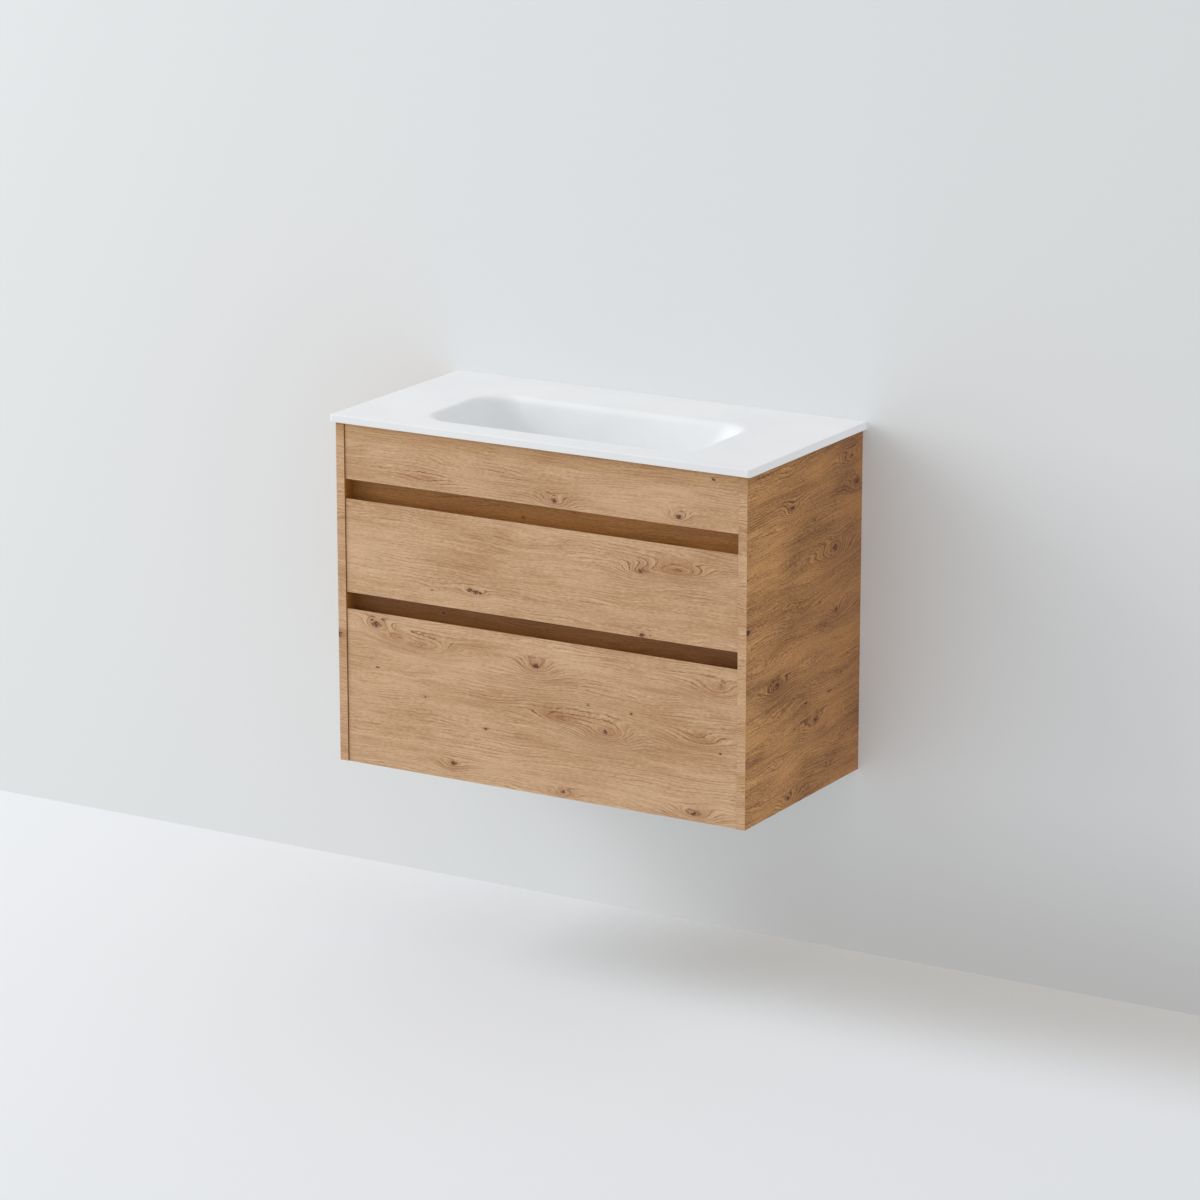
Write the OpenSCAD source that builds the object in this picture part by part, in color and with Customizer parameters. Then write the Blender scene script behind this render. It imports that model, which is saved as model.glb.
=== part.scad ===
// Wall-hung bathroom vanity: an oak-decor cabinet with two handleless drawers under a moulded washbasin.
// The wall is the plane Y = 0, the cabinet stands out towards -Y, and Z = 0 is the cabinet's underside.

/* [Cabinet] */
// Width over the side panels
cabinet_w = 794; // [640:0.1:1200]
// Depth of the side panels, from the wall
cabinet_d = 403; // [395:0.1:560]
// Height of the side panels
cabinet_h = 597; // [540:0.1:760]
// Thickness of the cabinet boards and the fronts
board_t = 16; // [13:0.1:19.5]
// Height of the two rails across the back
rear_rail_h = 80; // [60:1:110]
// Distance of the upper rear rail's front face from the wall
rear_rail_y = 92; // [86:1:104]
// Height of the stretcher behind the fascia
stretcher_h = 64; // [50:1:80]

/* [Fronts] */
// Height of the fixed fascia under the washbasin
fascia_h = 97.5; // [80:0.5:120]
// Height of the finger recess above the upper drawer
upper_recess_h = 34.5; // [25:0.5:42]
// Height of the upper drawer's front
upper_front_h = 164; // [136:0.1:200]
// Height of the finger recess above the lower drawer
lower_recess_h = 29.5; // [24:0.1:36]
// Gap between a front and the side panel beside it
front_gap = 1; // [0.8:0.1:3]
// How far the fronts lie behind the side panels' front edges
front_inset = 2; // [0:0.1:4]
// Depth of the finger recesses, from the side panels' front edges
recess_d = 27; // [23:0.5:32]
// How far a grip rail runs on behind the front under it
rail_lap_below = 25; // [20:0.5:32]
// How far a grip rail runs on behind the front over it
rail_lap_above = 16; // [10:0.5:20]
// Flat land left on a drawer front's bevelled upper edge
bevel_land = 2; // [1:0.5:6]

/* [Washbasin] */
// Overhang of the slab over each side panel
slab_side = 8; // [2:0.5:15]
// Overhang of the slab over the side panels' front edges
slab_front = 7; // [0:0.5:15]
// Thickness of the slab
slab_t = 13; // [10:0.1:20]
// Radius of the slab's upper edge
slab_edge = 2; // [1:0.1:4]
// Radius of the slab's upright corners
slab_corner = 5; // [4.5:0.5:12]
// Length of the bowl's opening
bowl_w = 530; // [420:1:640]
// Width of the bowl's opening, front to back
bowl_d = 238; // [210:0.1:250]
// Depth of the bowl at the edge of its floor
bowl_h = 102; // [80:0.1:105]
// Width of the deck in front of the bowl
front_deck = 49; // [40:0.5:60]
// Corner radius of the bowl's opening
bowl_corner = 56; // [35:1:80]
// Growth of the bowl's corner radius for each millimetre of depth
corner_growth = 0.1; // [0:0.1:1.2]
// Slope of the bowl's end walls, from upright
end_slope = 30; // [20:1:45]
// Slope of the bowl's front and back walls, from upright
wall_slope = 10; // [6:1:20]
// Radius of the bowl's rim
rim_r = 13; // [6:0.5:16]
// Radius between the bowl's end walls and its floor
end_floor_r = 60; // [40:1:70]
// Radius between the bowl's long walls and its floor
long_floor_r = 42; // [30:1:50]
// Fall of the bowl's floor to the waste
floor_fall = 3; // [1:0.5:5]
// Thickness of the bowl's shell
shell_t = 9; // [7:0.5:11]

/* [Drawers] */
// Thickness of the drawer boxes' boards
box_t = 12; // [10:0.1:15]
// Thickness of the drawer boxes' bottoms
box_bottom_t = 8; // [6:0.1:10]
// Height of a drawer box's bottom above its lower edge
bottom_rise = 10; // [8:0.5:14]
// Depth of the grooves that hold the bottoms
groove_d = 6; // [4:0.1:8]
// Clearance between a drawer box and the rails over and under it
box_clear = 8; // [5:0.5:12]
// Half the clear width of the upper drawer's plumbing cut-out
cutout_half = 90; // [75:1:120]
// Corner radius of the plumbing cut-out
cutout_r = 45; // [20:1:60]
// Clearance between the trap and the plumbing cut-out's front wall
cutout_clear = 26; // [15:1:40]
// Thickness of the moulded guard round the plumbing cut-out
guard_t = 4; // [3:0.1:6]
// Width of the guard's top flange
guard_flange = 9; // [6:0.5:14]

/* [Runners] */
// Length of a ball-bearing runner
runner_l = 350; // [280:0.1:352]
// Travel of a drawer
travel = 350; // [250:1:350]
// Thickness of a runner, which is the gap beside a drawer box
runner_t = 12.7; // [12.7:0.1:14]
// Height of a runner
runner_h = 45.5; // [40:0.1:56]
// Sheet thickness of the runner members
sheet_t = 1.2; // [1:0.05:1.5]
// Diameter of the bearing balls
ball_d = 3; // [2.5:0.1:3.2]
// Height of a runner's middle above its drawer box's lower edge
runner_rise = 35; // [28:1:50]
// Balls in one row of a cage
balls = 6; // [4:1:8]

/* [Waste and trap] */
// Radius of the washbasin's waste hole
waste_r = 23; // [22:0.5:25]
// Radius of the waste's flange
flange_r = 31.5; // [30:0.5:33]
// Lift of the waste's plug when it is open
plug_lift = 8; // [5:0.5:12]
// Radius of the plug's stem
stem_r = 5; // [4:0.1:6]
// Radius of the outlet pipe
pipe_r = 16; // [14:0.5:20]
// Wall of the pipes and of the trap
pipe_wall = 1.8; // [1.5:0.1:2.5]
// Radius of the trap's bottle
bottle_r = 34; // [30:0.5:38]
// Height of the outlet pipe's axis above the cabinet's underside
outlet_z = 396; // [380:1:402]
// Height of the trap's lowest point above the cabinet's underside
trap_bottom_z = 300; // [270:1:310]
// Length of the outlet pipe's free end, up to its stop bead
spigot_l = 50; // [35:1:80]

/* [Fixings] */
// Distance of the wall screws from the side panels' inner faces
plate_set = 29; // [28.5:0.1:38]
// Spacing of the wall screws in one wall plate
wall_screw_z = 32; // [32:0.1:40]
// Radius of the wall screw holes
wall_hole_r = 3.25; // [2.5:0.05:4]
// Radius of a cam lock
cam_r = 7.5; // [6:0.1:8]
// Distance of a cam lock's middle from its board's end
cam_set = 24; // [20:0.5:34]
// Radius of a dowel
dowel_r = 4; // [3:0.1:5]
// Clearance round a dowel, screw or bolt in its bore
bore_gap = 0.1; // [0.05:0.01:0.2]

/* [Hidden] */

oak = "#bb9874";
oak_rail = "#84573a";
carcass = "#b9b6b0";
ceramic = "#e6e8ea";
steel = "#b9bcc0";
zinc = "#9a9da1";
plastic = "#e9e9e6";
dark_plastic = "#4b4e52";

// Heights of the fronts and the recesses, from the top down
fascia_z = cabinet_h - fascia_h;
upper_front_top = fascia_z - upper_recess_h;
upper_front_z = upper_front_top - upper_front_h;
lower_front_top = upper_front_z - lower_recess_h;

// Depths, from the front back
front_y = -cabinet_d;
face_y = front_y + front_inset;
face_back_y = face_y + board_t;
rail_y = front_y + recess_d;
inner_x = cabinet_w / 2 - board_t;
front_x = inner_x - front_gap;

// Grip rails
upper_rail_z = upper_front_top - rail_lap_below;
upper_rail_top = fascia_z + rail_lap_above;
lower_rail_z = lower_front_top - rail_lap_below;
lower_rail_top = upper_front_z + rail_lap_above;

// Drawer boxes: [lower edge, upper edge]
box_x = inner_x - runner_t;
box_y = face_back_y;
box_back_y = box_y + runner_l;
upper_box = [lower_rail_top + box_clear, upper_rail_z - box_clear];
lower_box = [board_t + box_clear, lower_rail_z - box_clear];

// Washbasin
slab_x = cabinet_w / 2 + slab_side;
slab_d = cabinet_d + slab_front;
slab_top = cabinet_h + slab_t;
bowl_y = -slab_d + front_deck + bowl_d / 2;
floor_z = slab_top - bowl_h - floor_fall;
basin_under = floor_z - shell_t;
corner_steps = 9;

// Waste
seat_gap = 0.3;
flange_t = 2.5;
flange_z = floor_z - flange_t;
waste_tube_r = waste_r - 0.4;
waste_thread_r = 20.9;
waste_bottom = basin_under - 40;
seal_t = 4;
nut_t = 10;
cap_r = flange_r - 1.5;
cap_h = 4.5;

// Trap
trap_neck_z = outlet_z + pipe_r + 14;
trap_neck_h = 16;
cup_top = trap_bottom_z + 62;
socket_l = 22;

// Mirror to the left-hand side
module left() {
    mirror([1, 0, 0]) children();
}

module both_sides() {
    children();
    left() children();
}

module block(lo, hi) {
    translate(lo) cube([hi[0] - lo[0], hi[1] - lo[1], hi[2] - lo[2]]);
}

// A cylinder along +X, +Y or +Z from a point
module rod_x(p, r, l) {
    translate(p) rotate([0, 90, 0]) cylinder(r = r, h = l, $fn = 48);
}

module rod_y(p, r, l) {
    translate(p) rotate([-90, 0, 0]) cylinder(r = r, h = l, $fn = 48);
}

module rod_z(p, r, l) {
    translate(p) cylinder(r = r, h = l, $fn = 64);
}

// ---- Cam and dowel joints between a cross board and the side panels ----

// Each joint: [y, z of the cam bolt, y, z of the dowel, side that the cam goes in from],
// where the side is 1 for the board's rear face and 0 for its underside
function upright_joint(y, z, h) = [y, z + h * 0.3, y, z + h * 0.72, 1];

stretcher_z = cabinet_h - stretcher_h;
rear_top_z = cabinet_h - rear_rail_h;
rear_top_y = -rear_rail_y + board_t / 2;
rail_mid_y = rail_y + board_t / 2;
bottom_front_y = face_back_y + 2;
bottom_joint_set = 55;
dowel_pitch = 32;

stretcher_joint = upright_joint(face_back_y + board_t / 2, stretcher_z, stretcher_h);
upper_rail_joint = upright_joint(rail_mid_y, upper_rail_z, upper_rail_top - upper_rail_z);
lower_rail_joint = upright_joint(rail_mid_y, lower_rail_z, lower_rail_top - lower_rail_z);
rear_top_joint = upright_joint(rear_top_y, rear_top_z, rear_rail_h);
rear_bottom_joint = upright_joint(-board_t / 2, 0, rear_rail_h);
bottom_front_joint = [
    bottom_front_y + bottom_joint_set, board_t / 2,
    bottom_front_y + bottom_joint_set + dowel_pitch, board_t / 2, 0
];
bottom_rear_joint = [
    -board_t - bottom_joint_set, board_t / 2,
    -board_t - bottom_joint_set - dowel_pitch, board_t / 2, 0
];
joints = [
    stretcher_joint, upper_rail_joint, lower_rail_joint, rear_top_joint, rear_bottom_joint,
    bottom_front_joint, bottom_rear_joint
];

cam_x = inner_x - cam_set;
cam_depth = board_t * 0.78;
bolt_r = 3;
bolt_thread_r = 2.5;
bolt_head_r = 3.4;
bolt_grip = board_t * 0.66;
dowel_in_panel = board_t * 0.72;
dowel_in_board = 18;

// A cam lock's cylinder, let in from the board's rear face or its underside
module cam_body(j, r, depth) {
    if (j[4] == 1) {
        rod_y([cam_x, j[0] + board_t / 2 - depth, j[1]], r, depth);
    } else {
        rod_z([cam_x, j[0], j[1] - board_t / 2], r, depth);
    }
}

module joint_board_cuts(j) {
    cam_body(j, cam_r + bore_gap, cam_depth + bore_gap);
    rod_x([cam_x, j[0], j[1]], bolt_head_r + bore_gap, cam_set + 1);
    rod_x([inner_x - dowel_in_board - bore_gap, j[2], j[3]], dowel_r + bore_gap, dowel_in_board + 1);
}

module joint_panel_cuts(j) {
    rod_x([inner_x - 1, j[0], j[1]], bolt_thread_r + bore_gap, bolt_grip + 1);
    rod_x([inner_x - 1, j[2], j[3]], dowel_r + bore_gap, dowel_in_panel + 1 + bore_gap);
}

// A cross board with the same joint or joints cut into both its ends
module cross_board(lo, hi, board_joints) {
    difference() {
        block(lo, hi);
        both_sides() for (j = board_joints) joint_board_cuts(j);
    }
}

// ---- Screws ----

screw_r = 1.8;
head_r = 3.6;
head_h = 1.9;

// A countersunk screw along +X whose head's face is at the point
module csk_screw_x(p, l, gap = 0) {
    translate(p) rotate([0, 90, 0]) {
        cylinder(r1 = head_r + gap, r2 = screw_r + gap, h = head_h, $fn = 48);
        cylinder(r = screw_r + gap, h = l + gap, $fn = 48);
    }
}

// ---- Cabinet boards ----

// Three screw places along a runner, measured from its front end: the last is set from its rear end
function screw_row(first, last) = [first, (first + runner_l - last) / 2, runner_l - last];

outer_screws = screw_row(30, 64);
inner_screws = screw_row(46, 40);
outer_slots = [for (k = [0:1]) (outer_screws[k] + outer_screws[k + 1]) / 2];
runner_zs = [upper_box[0] + runner_rise, lower_box[0] + runner_rise];
runner_y = face_back_y + 1;
outer_screw_l = sheet_t + board_t * 0.7;
inner_screw_l = sheet_t + box_t * 0.7;

// Hanger: housing against the side panel, and the hook that leaves its rear end
hanger_t = 15;
hanger_top = cabinet_h - 12;
hanger_h = 52;
hanger_l = 58;
hanger_y = -8 - hanger_l;
hanger_holes = [[hanger_y + 12, hanger_top - 12], [hanger_y + hanger_l - 16, hanger_top - hanger_h + 12]];
hanger_screw_l = 3 + board_t * 0.7;

module side_panel() {
    color(oak) difference() {
        block([inner_x, front_y, 0], [cabinet_w / 2, 0, cabinet_h]);
        for (j = joints) joint_panel_cuts(j);
        for (z = runner_zs, s = outer_screws) {
            csk_screw_x([inner_x - sheet_t, runner_y + s, z], outer_screw_l, bore_gap);
        }
        for (h = hanger_holes) csk_screw_x([inner_x - 3, h[0], h[1]], hanger_screw_l, bore_gap);
    }
}

module left_side_panel() {
    left() side_panel();
}

module right_side_panel() {
    side_panel();
}

module bottom_panel() {
    color(carcass) cross_board(
        [-inner_x, bottom_front_y, 0], [inner_x, -board_t, board_t],
        [bottom_front_joint, bottom_rear_joint]
    );
}

module front_stretcher() {
    color(carcass) difference() {
        cross_board(
            [-inner_x, face_back_y, stretcher_z],
            [inner_x, face_back_y + board_t, cabinet_h], [stretcher_joint]
        );
        fascia_screws(bore_gap);
    }
}

module top_fascia() {
    color(oak) difference() {
        block([-front_x, face_y, fascia_z], [front_x, face_back_y, cabinet_h]);
        fascia_screws(bore_gap);
    }
}

module upper_grip_rail() {
    color(oak_rail) cross_board(
        [-inner_x, rail_y, upper_rail_z], [inner_x, rail_y + board_t, upper_rail_top],
        [upper_rail_joint]
    );
}

module lower_grip_rail() {
    color(oak_rail) cross_board(
        [-inner_x, rail_y, lower_rail_z], [inner_x, rail_y + board_t, lower_rail_top],
        [lower_rail_joint]
    );
}

module rear_top_rail() {
    color(carcass) cross_board(
        [-inner_x, -rear_rail_y, rear_top_z], [inner_x, -rear_rail_y + board_t, cabinet_h],
        [rear_top_joint]
    );
}

module rear_bottom_rail() {
    color(carcass) cross_board(
        [-inner_x, -board_t, 0], [inner_x, 0, rear_rail_h], [rear_bottom_joint]
    );
}

// ---- Fixings of the cabinet ----

module cam_lock(j) {
    difference() {
        cam_body(j, cam_r, cam_depth);
        rod_x([cam_x, j[0], j[1]], bolt_head_r + bore_gap, cam_set);
        cam_slot(j);
    }
}

// The cross slot in a cam lock's face
module cam_slot(j) {
    face = board_t / 2;
    for (turn = [0, 90]) {
        if (j[4] == 1) {
            translate([cam_x, j[0] + face - 1, j[1]])
                rotate([0, turn, 0]) cube([9, 3, 1.2], center = true);
        } else {
            translate([cam_x, j[0], j[1] - face + 1])
                rotate([0, 0, turn]) cube([9, 1.2, 3], center = true);
        }
    }
}

module cam_locks() {
    color(zinc) both_sides() for (j = joints) cam_lock(j);
}

module cam_bolt(j) {
    rod_x([cam_x + 0.5, j[0], j[1]], bolt_head_r, 2.5);
    rod_x([cam_x + 0.5, j[0], j[1]], bolt_r - 1, cam_set - 0.5);
    rod_x([cam_x + cam_r - 1, j[0], j[1]], bolt_r, cam_set - cam_r + 1);
    rod_x([inner_x - 1, j[0], j[1]], bolt_thread_r, bolt_grip + 0.8);
}

module cam_bolts() {
    color(steel) both_sides() for (j = joints) cam_bolt(j);
}

module dowels() {
    color("#c8a878") both_sides() for (j = joints) {
        rod_x([inner_x - dowel_in_board, j[2], j[3]], dowel_r, dowel_in_board + dowel_in_panel);
    }
}

fascia_screw_xs = [-0.8, -0.28, 0.28, 0.8];
fascia_screw_l = board_t + board_t * 0.7;

// The screws that hold the fascia, driven from behind the stretcher
module fascia_screws(gap = 0) {
    for (k = fascia_screw_xs) {
        translate([k * inner_x, face_back_y + board_t, stretcher_z + stretcher_h / 2])
            rotate([0, 0, -90]) csk_screw_x([0, 0, 0], fascia_screw_l, gap);
    }
}

module cabinet_screws() {
    color(steel) {
        fascia_screws();
        both_sides() {
            for (z = runner_zs, s = outer_screws) {
                csk_screw_x([inner_x - sheet_t, runner_y + s, z], outer_screw_l);
            }
            for (h = hanger_holes) csk_screw_x([inner_x - 3, h[0], h[1]], hanger_screw_l);
        }
    }
}

// ---- Wall plates and hangers ----

plate_t = 2.5;
plate_w = 56;
plate_x = inner_x - plate_set;
plate_z = hanger_top - 66;
lip_z = hanger_top - 16;
lip_top = hanger_top - 4;
lip_y = -9;
hook_t = 3;

module wall_plate() {
    color(steel) difference() {
        translate([plate_x - plate_w / 2, 0, 0]) rotate([90, 0, 90]) linear_extrude(plate_w) polygon([
            [0, plate_z], [0, lip_z], [lip_y + plate_t, lip_z], [lip_y + plate_t, lip_top],
            [lip_y, lip_top], [lip_y, lip_z - plate_t], [-plate_t, lip_z - plate_t], [-plate_t, plate_z]
        ]);
        for (s = [-1, 1]) {
            z = plate_screw_mid + s * wall_screw_z / 2;
            rod_y([plate_x, -plate_t - 1, z], wall_hole_r, plate_t + 2);
        }
    }
}

plate_screw_mid = (plate_z + lip_z - plate_t) / 2;

module wall_plate_left() {
    left() wall_plate();
}

module wall_plate_right() {
    wall_plate();
}

// The housing is a pressed box against the side panel; the hook is a claw that drops behind the plate's lip
module hanger() {
    claw_back = lip_y + plate_t + 0.3;
    housing_x = inner_x - hanger_t;
    color(steel) difference() {
        union() {
            block(
                [housing_x, hanger_y, hanger_top - hanger_h],
                [inner_x, hanger_y + hanger_l - 6, hanger_top]
            );
            translate([housing_x, 0, 0]) rotate([90, 0, 90]) linear_extrude(hook_t) polygon([
                [hanger_y + 8, hanger_top - hanger_h + 6], [lip_y - 3, hanger_top - hanger_h + 6],
                [lip_y - 0.3, lip_z - 6], [lip_y - 0.3, lip_top], [claw_back, lip_top],
                [claw_back, lip_z + 1.5], [claw_back + 3, lip_z + 1.5], [claw_back + 3, hanger_top + 3],
                [hanger_y + 8, hanger_top + 3]
            ]);
        }
        // the housing's hollow, open towards the side panel
        block(
            [housing_x + hook_t, hanger_y + 3, hanger_top - hanger_h + 3],
            [inner_x - 3, hanger_y + hanger_l - 9, hanger_top - 3]
        );
        // holes for the height and depth adjusters, and for the screws into the side panel
        for (dz = [14, 38]) rod_y([housing_x + 7.5, hanger_y - 1, hanger_top - dz], 3, 5);
        for (h = hanger_holes) {
            csk_screw_x([inner_x - 3, h[0], h[1]], 6, bore_gap);
            rod_x([housing_x - 1, h[0], h[1]], head_r + 0.6, hook_t + 2);
        }
    }
}

module hanger_left() {
    left() hanger();
}

module hanger_right() {
    hanger();
}

// ---- Washbasin ----

// A rounded rectangle of points, counter-clockwise from above, with as many points whatever its radius
function ring(hx, hy, r, cy, z) = [
    for (q = [0:3]) for (k = [0:corner_steps])
        let (a = 90 * q + 90 * k / corner_steps, sx = q == 0 || q == 3 ? 1 : -1, sy = q < 2 ? 1 : -1)
        [sx * (hx - r) + r * cos(a), cy + sy * (hy - r) + r * sin(a), z]
];

// How far a wall has come in at a depth: rim arc, straight slope, then the arc into the floor
function inset(d, slope, floor_r) =
    let (
        rim_end = rim_r * (1 - sin(slope)),
        floor_start = bowl_h - floor_r * (1 - sin(slope)),
        at_rim = rim_r * cos(slope),
        at_floor = at_rim + (floor_start - rim_end) * tan(slope),
        up = max(0, bowl_h - d)
    )
    d < rim_end ? sqrt(2 * rim_r * d - d * d)
    : d < floor_start ? at_rim + (d - rim_end) * tan(slope)
    : at_floor + floor_r * cos(slope) - sqrt(max(0, 2 * floor_r * up - up * up));

function half_x(d) = bowl_w / 2 - inset(d, end_slope, end_floor_r);
function half_y(d) = bowl_d / 2 - inset(d, wall_slope, long_floor_r);
function corner(d) = min(bowl_corner + corner_growth * d, half_y(d) - 1);

function bowl_ring(d, off_x, off_y, z) =
    ring(half_x(d) + off_x, half_y(d) + off_y, corner(d) + off_y, bowl_y, z);

rim_depths = [for (a = [0:18:90]) rim_r * (1 - cos(a))];
wall_depths = [for (k = [1:3]) rim_r + (bowl_h - long_floor_r - rim_r) * k / 4];
floor_depths = [for (a = [75:-15:0]) bowl_h - long_floor_r * (1 - cos(a))];
inner_depths = concat(rim_depths, wall_depths, floor_depths);
outer_depths = concat([for (k = [5:-1:1]) floor_depths[k]], [for (k = [2:-1:0]) wall_depths[k]], [slab_t]);
shell_x = shell_t / cos(end_slope);
shell_y = shell_t / cos(wall_slope);
seat_r = flange_r + 1;
// How much further the floor's last slight fall reaches out from the waste's seat
ease_x = 26;
ease_y = 5;

// The slab's outline with its front and ends drawn in, while its rear edge stays at the wall
function slab_ring(off, z) =
    ring(slab_x - off, (slab_d - off) / 2, slab_corner - off, (off - slab_d) / 2, z);

slab_rings = [
    slab_ring(1, cabinet_h),
    slab_ring(0, cabinet_h + 1),
    for (a = [0:30:90]) slab_ring(slab_edge * (1 - cos(a)), slab_top - slab_edge + slab_edge * sin(a))
];
basin_rings = concat(
    slab_rings,
    [for (d = inner_depths) bowl_ring(d, 0, 0, slab_top - d)],
    [ring(seat_r + ease_x, seat_r + ease_y, seat_r + ease_y - 1, bowl_y, floor_z + 0.4)],
    [ring(seat_r, seat_r, seat_r - 1, bowl_y, floor_z)],
    [ring(waste_r - 3, waste_r - 3, waste_r - 4, bowl_y, floor_z)],
    [ring(waste_r - 3, waste_r - 3, waste_r - 4, bowl_y, basin_under)],
    [for (d = outer_depths)
        bowl_ring(d, shell_x, shell_y, slab_top - d - (d > slab_t ? shell_t * d / bowl_h : 0))]
);
ring_n = 4 * (corner_steps + 1);

function closed_loft_faces(rings_n) = [
    for (i = [0:rings_n - 1]) for (j = [0:ring_n - 1])
        let (
            a = i * ring_n + j, b = i * ring_n + (j + 1) % ring_n,
            c = ((i + 1) % rings_n) * ring_n + (j + 1) % ring_n, d = ((i + 1) % rings_n) * ring_n + j
        )
        each [[a, c, b], [a, d, c]]
];

module washbasin() {
    color(ceramic) difference() {
        polyhedron(points = [for (r = basin_rings) each r], faces = closed_loft_faces(len(basin_rings)));
        rod_z([0, bowl_y, basin_under - 1], waste_r, shell_t + 4);
        rod_z([0, bowl_y, flange_z - 0.2], flange_r + 0.5, flange_t + 5);
    }
}

// ---- Waste ----

hub_r = 8;
guide_z = basin_under - 20;
guide_h = 10;

module waste_flange() {
    color(steel) translate([0, bowl_y, 0]) {
        rotate_extrude($fn = 96) polygon([
            [waste_tube_r - 3, waste_bottom], [waste_thread_r, waste_bottom],
            [waste_thread_r, waste_bottom + 18], [waste_tube_r, waste_bottom + 19],
            [waste_tube_r, flange_z], [flange_r, flange_z], [flange_r, floor_z - 0.6],
            [flange_r - 0.6, floor_z], [waste_tube_r + 1, floor_z], [waste_tube_r - 3, floor_z - 4]
        ]);
        difference() {
            union() {
                rod_z([0, 0, guide_z], hub_r, guide_h);
                for (a = [0, 90]) rotate([0, 0, a]) block(
                    [-waste_tube_r + 2, -1.5, guide_z + 1],
                    [waste_tube_r - 2, 1.5, guide_z + guide_h - 1]
                );
            }
            rod_z([0, 0, guide_z - 1], stem_r + 0.05, guide_h + 2);
        }
    }
}

module waste_seal() {
    color(dark_plastic) translate([0, bowl_y, basin_under - seal_t]) difference() {
        cylinder(r = flange_r, h = seal_t, $fn = 96);
        translate([0, 0, -1]) cylinder(r = waste_tube_r + bore_gap, h = seal_t + 2, $fn = 96);
    }
}

module waste_nut() {
    color(zinc) translate([0, bowl_y, basin_under - seal_t - nut_t]) difference() {
        union() {
            cylinder(r = flange_r, h = nut_t, $fn = 6);
            translate([0, 0, nut_t - 2]) cylinder(r = flange_r, h = 2, $fn = 96);
        }
        translate([0, 0, -1]) cylinder(r = waste_tube_r + bore_gap, h = nut_t + 2, $fn = 96);
    }
}

// A low domed cap on a stem that slides in the waste's guide
module waste_plug() {
    dome_r = (cap_r * cap_r + cap_h * cap_h) / (2 * cap_h);
    cap_z = floor_z + seat_gap;
    // lifted, the stem still fills most of the guide
    stem_end = guide_z + 2 - plug_lift;
    color(steel) translate([0, bowl_y, 0]) {
        intersection() {
            rod_z([0, 0, cap_z], cap_r, cap_h + 2);
            translate([0, 0, cap_z + 1 + cap_h - dome_r]) sphere(r = dome_r, $fn = 96);
        }
        rod_z([0, 0, stem_end], stem_r, cap_z + 1 - stem_end);
        translate([0, 0, cap_z - 6]) cylinder(r1 = stem_r, r2 = stem_r + 6, h = 6, $fn = 64);
    }
}

// ---- Trap ----

neck_r = pipe_r + 5;
trap_tube_top = waste_bottom - seat_gap;

module trap_tube() {
    color(plastic) translate([0, bowl_y, 0]) rotate_extrude($fn = 96) polygon([
        [pipe_r - pipe_wall, trap_bottom_z + 34], [pipe_r, trap_bottom_z + 34],
        [pipe_r, trap_tube_top - 3], [waste_thread_r - 0.4, trap_tube_top - 3],
        [waste_thread_r - 0.4, trap_tube_top], [pipe_r - pipe_wall, trap_tube_top]
    ]);
}

// A ribbed union nut along +Z from z = 0: closed at its lower end down to the pipe, open for the thread
module union_nut(thread_r, h) {
    difference() {
        union() {
            cylinder(r = thread_r + 4, h = h, $fn = 96);
            for (k = [0:7]) rotate([0, 0, 45 * k]) translate([thread_r + 2.5, -2, 0]) cube([3.3, 4, h - 2]);
        }
        translate([0, 0, 3]) cylinder(r = thread_r + bore_gap, h = h, $fn = 96);
        translate([0, 0, -1]) cylinder(r = pipe_r + bore_gap, h = 6, $fn = 96);
    }
}

module trap_nuts() {
    color(plastic) {
        translate([0, bowl_y, trap_tube_top - 3 - 3.1]) union_nut(waste_thread_r, 16);
        translate([0, bowl_y, trap_neck_z + trap_neck_h + 3.2]) mirror([0, 0, 1]) union_nut(neck_r, 15);
        translate([0, bowl_y + bottle_r + socket_l + 3.2, outlet_z])
            rotate([90, 0, 0]) union_nut(neck_r, 15);
    }
}

module trap_body() {
    wall_r = bottle_r - 1;
    thread_r = wall_r - 2;
    bore_r = thread_r - pipe_wall;
    color(plastic) translate([0, bowl_y, 0]) difference() {
        union() {
            rotate_extrude($fn = 96) polygon([
                [0, cup_top - 14], [thread_r, cup_top - 14], [thread_r, cup_top + 2],
                [wall_r, cup_top + 4], [wall_r, trap_neck_z - 6], [neck_r, trap_neck_z + 1],
                [neck_r, trap_neck_z + trap_neck_h], [0, trap_neck_z + trap_neck_h]
            ]);
            rod_y([0, 0, outlet_z], neck_r, bottle_r + socket_l);
        }
        rotate_extrude($fn = 96) polygon([
            [0, cup_top - 15], [bore_r, cup_top - 15], [bore_r, trap_neck_z - 8],
            [pipe_r + bore_gap, trap_neck_z - 2], [pipe_r + bore_gap, trap_neck_z + trap_neck_h + 1],
            [0, trap_neck_z + trap_neck_h + 1]
        ]);
        rod_y([0, 0, outlet_z], pipe_r + bore_gap, bottle_r + socket_l + 1);
    }
}

module trap_cup() {
    thread_r = bottle_r - 3;
    color(plastic) translate([0, bowl_y, 0]) {
        rotate_extrude($fn = 96) polygon([
            [0, trap_bottom_z], [thread_r - 8, trap_bottom_z], [thread_r - 2, trap_bottom_z + 4],
            [bottle_r, trap_bottom_z + 14], [bottle_r, cup_top], [thread_r + bore_gap, cup_top],
            [thread_r + bore_gap, cup_top - 16], [thread_r - 3, cup_top - 17],
            [thread_r - 3, trap_bottom_z + 14], [thread_r - 9, trap_bottom_z + 4], [0, trap_bottom_z + 3]
        ]);
        for (k = [0:11]) rotate([0, 0, 30 * k + 15]) {
            translate([bottle_r - 1, -1.5, cup_top - 16]) cube([2.4, 3, 15]);
        }
    }
}

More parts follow.
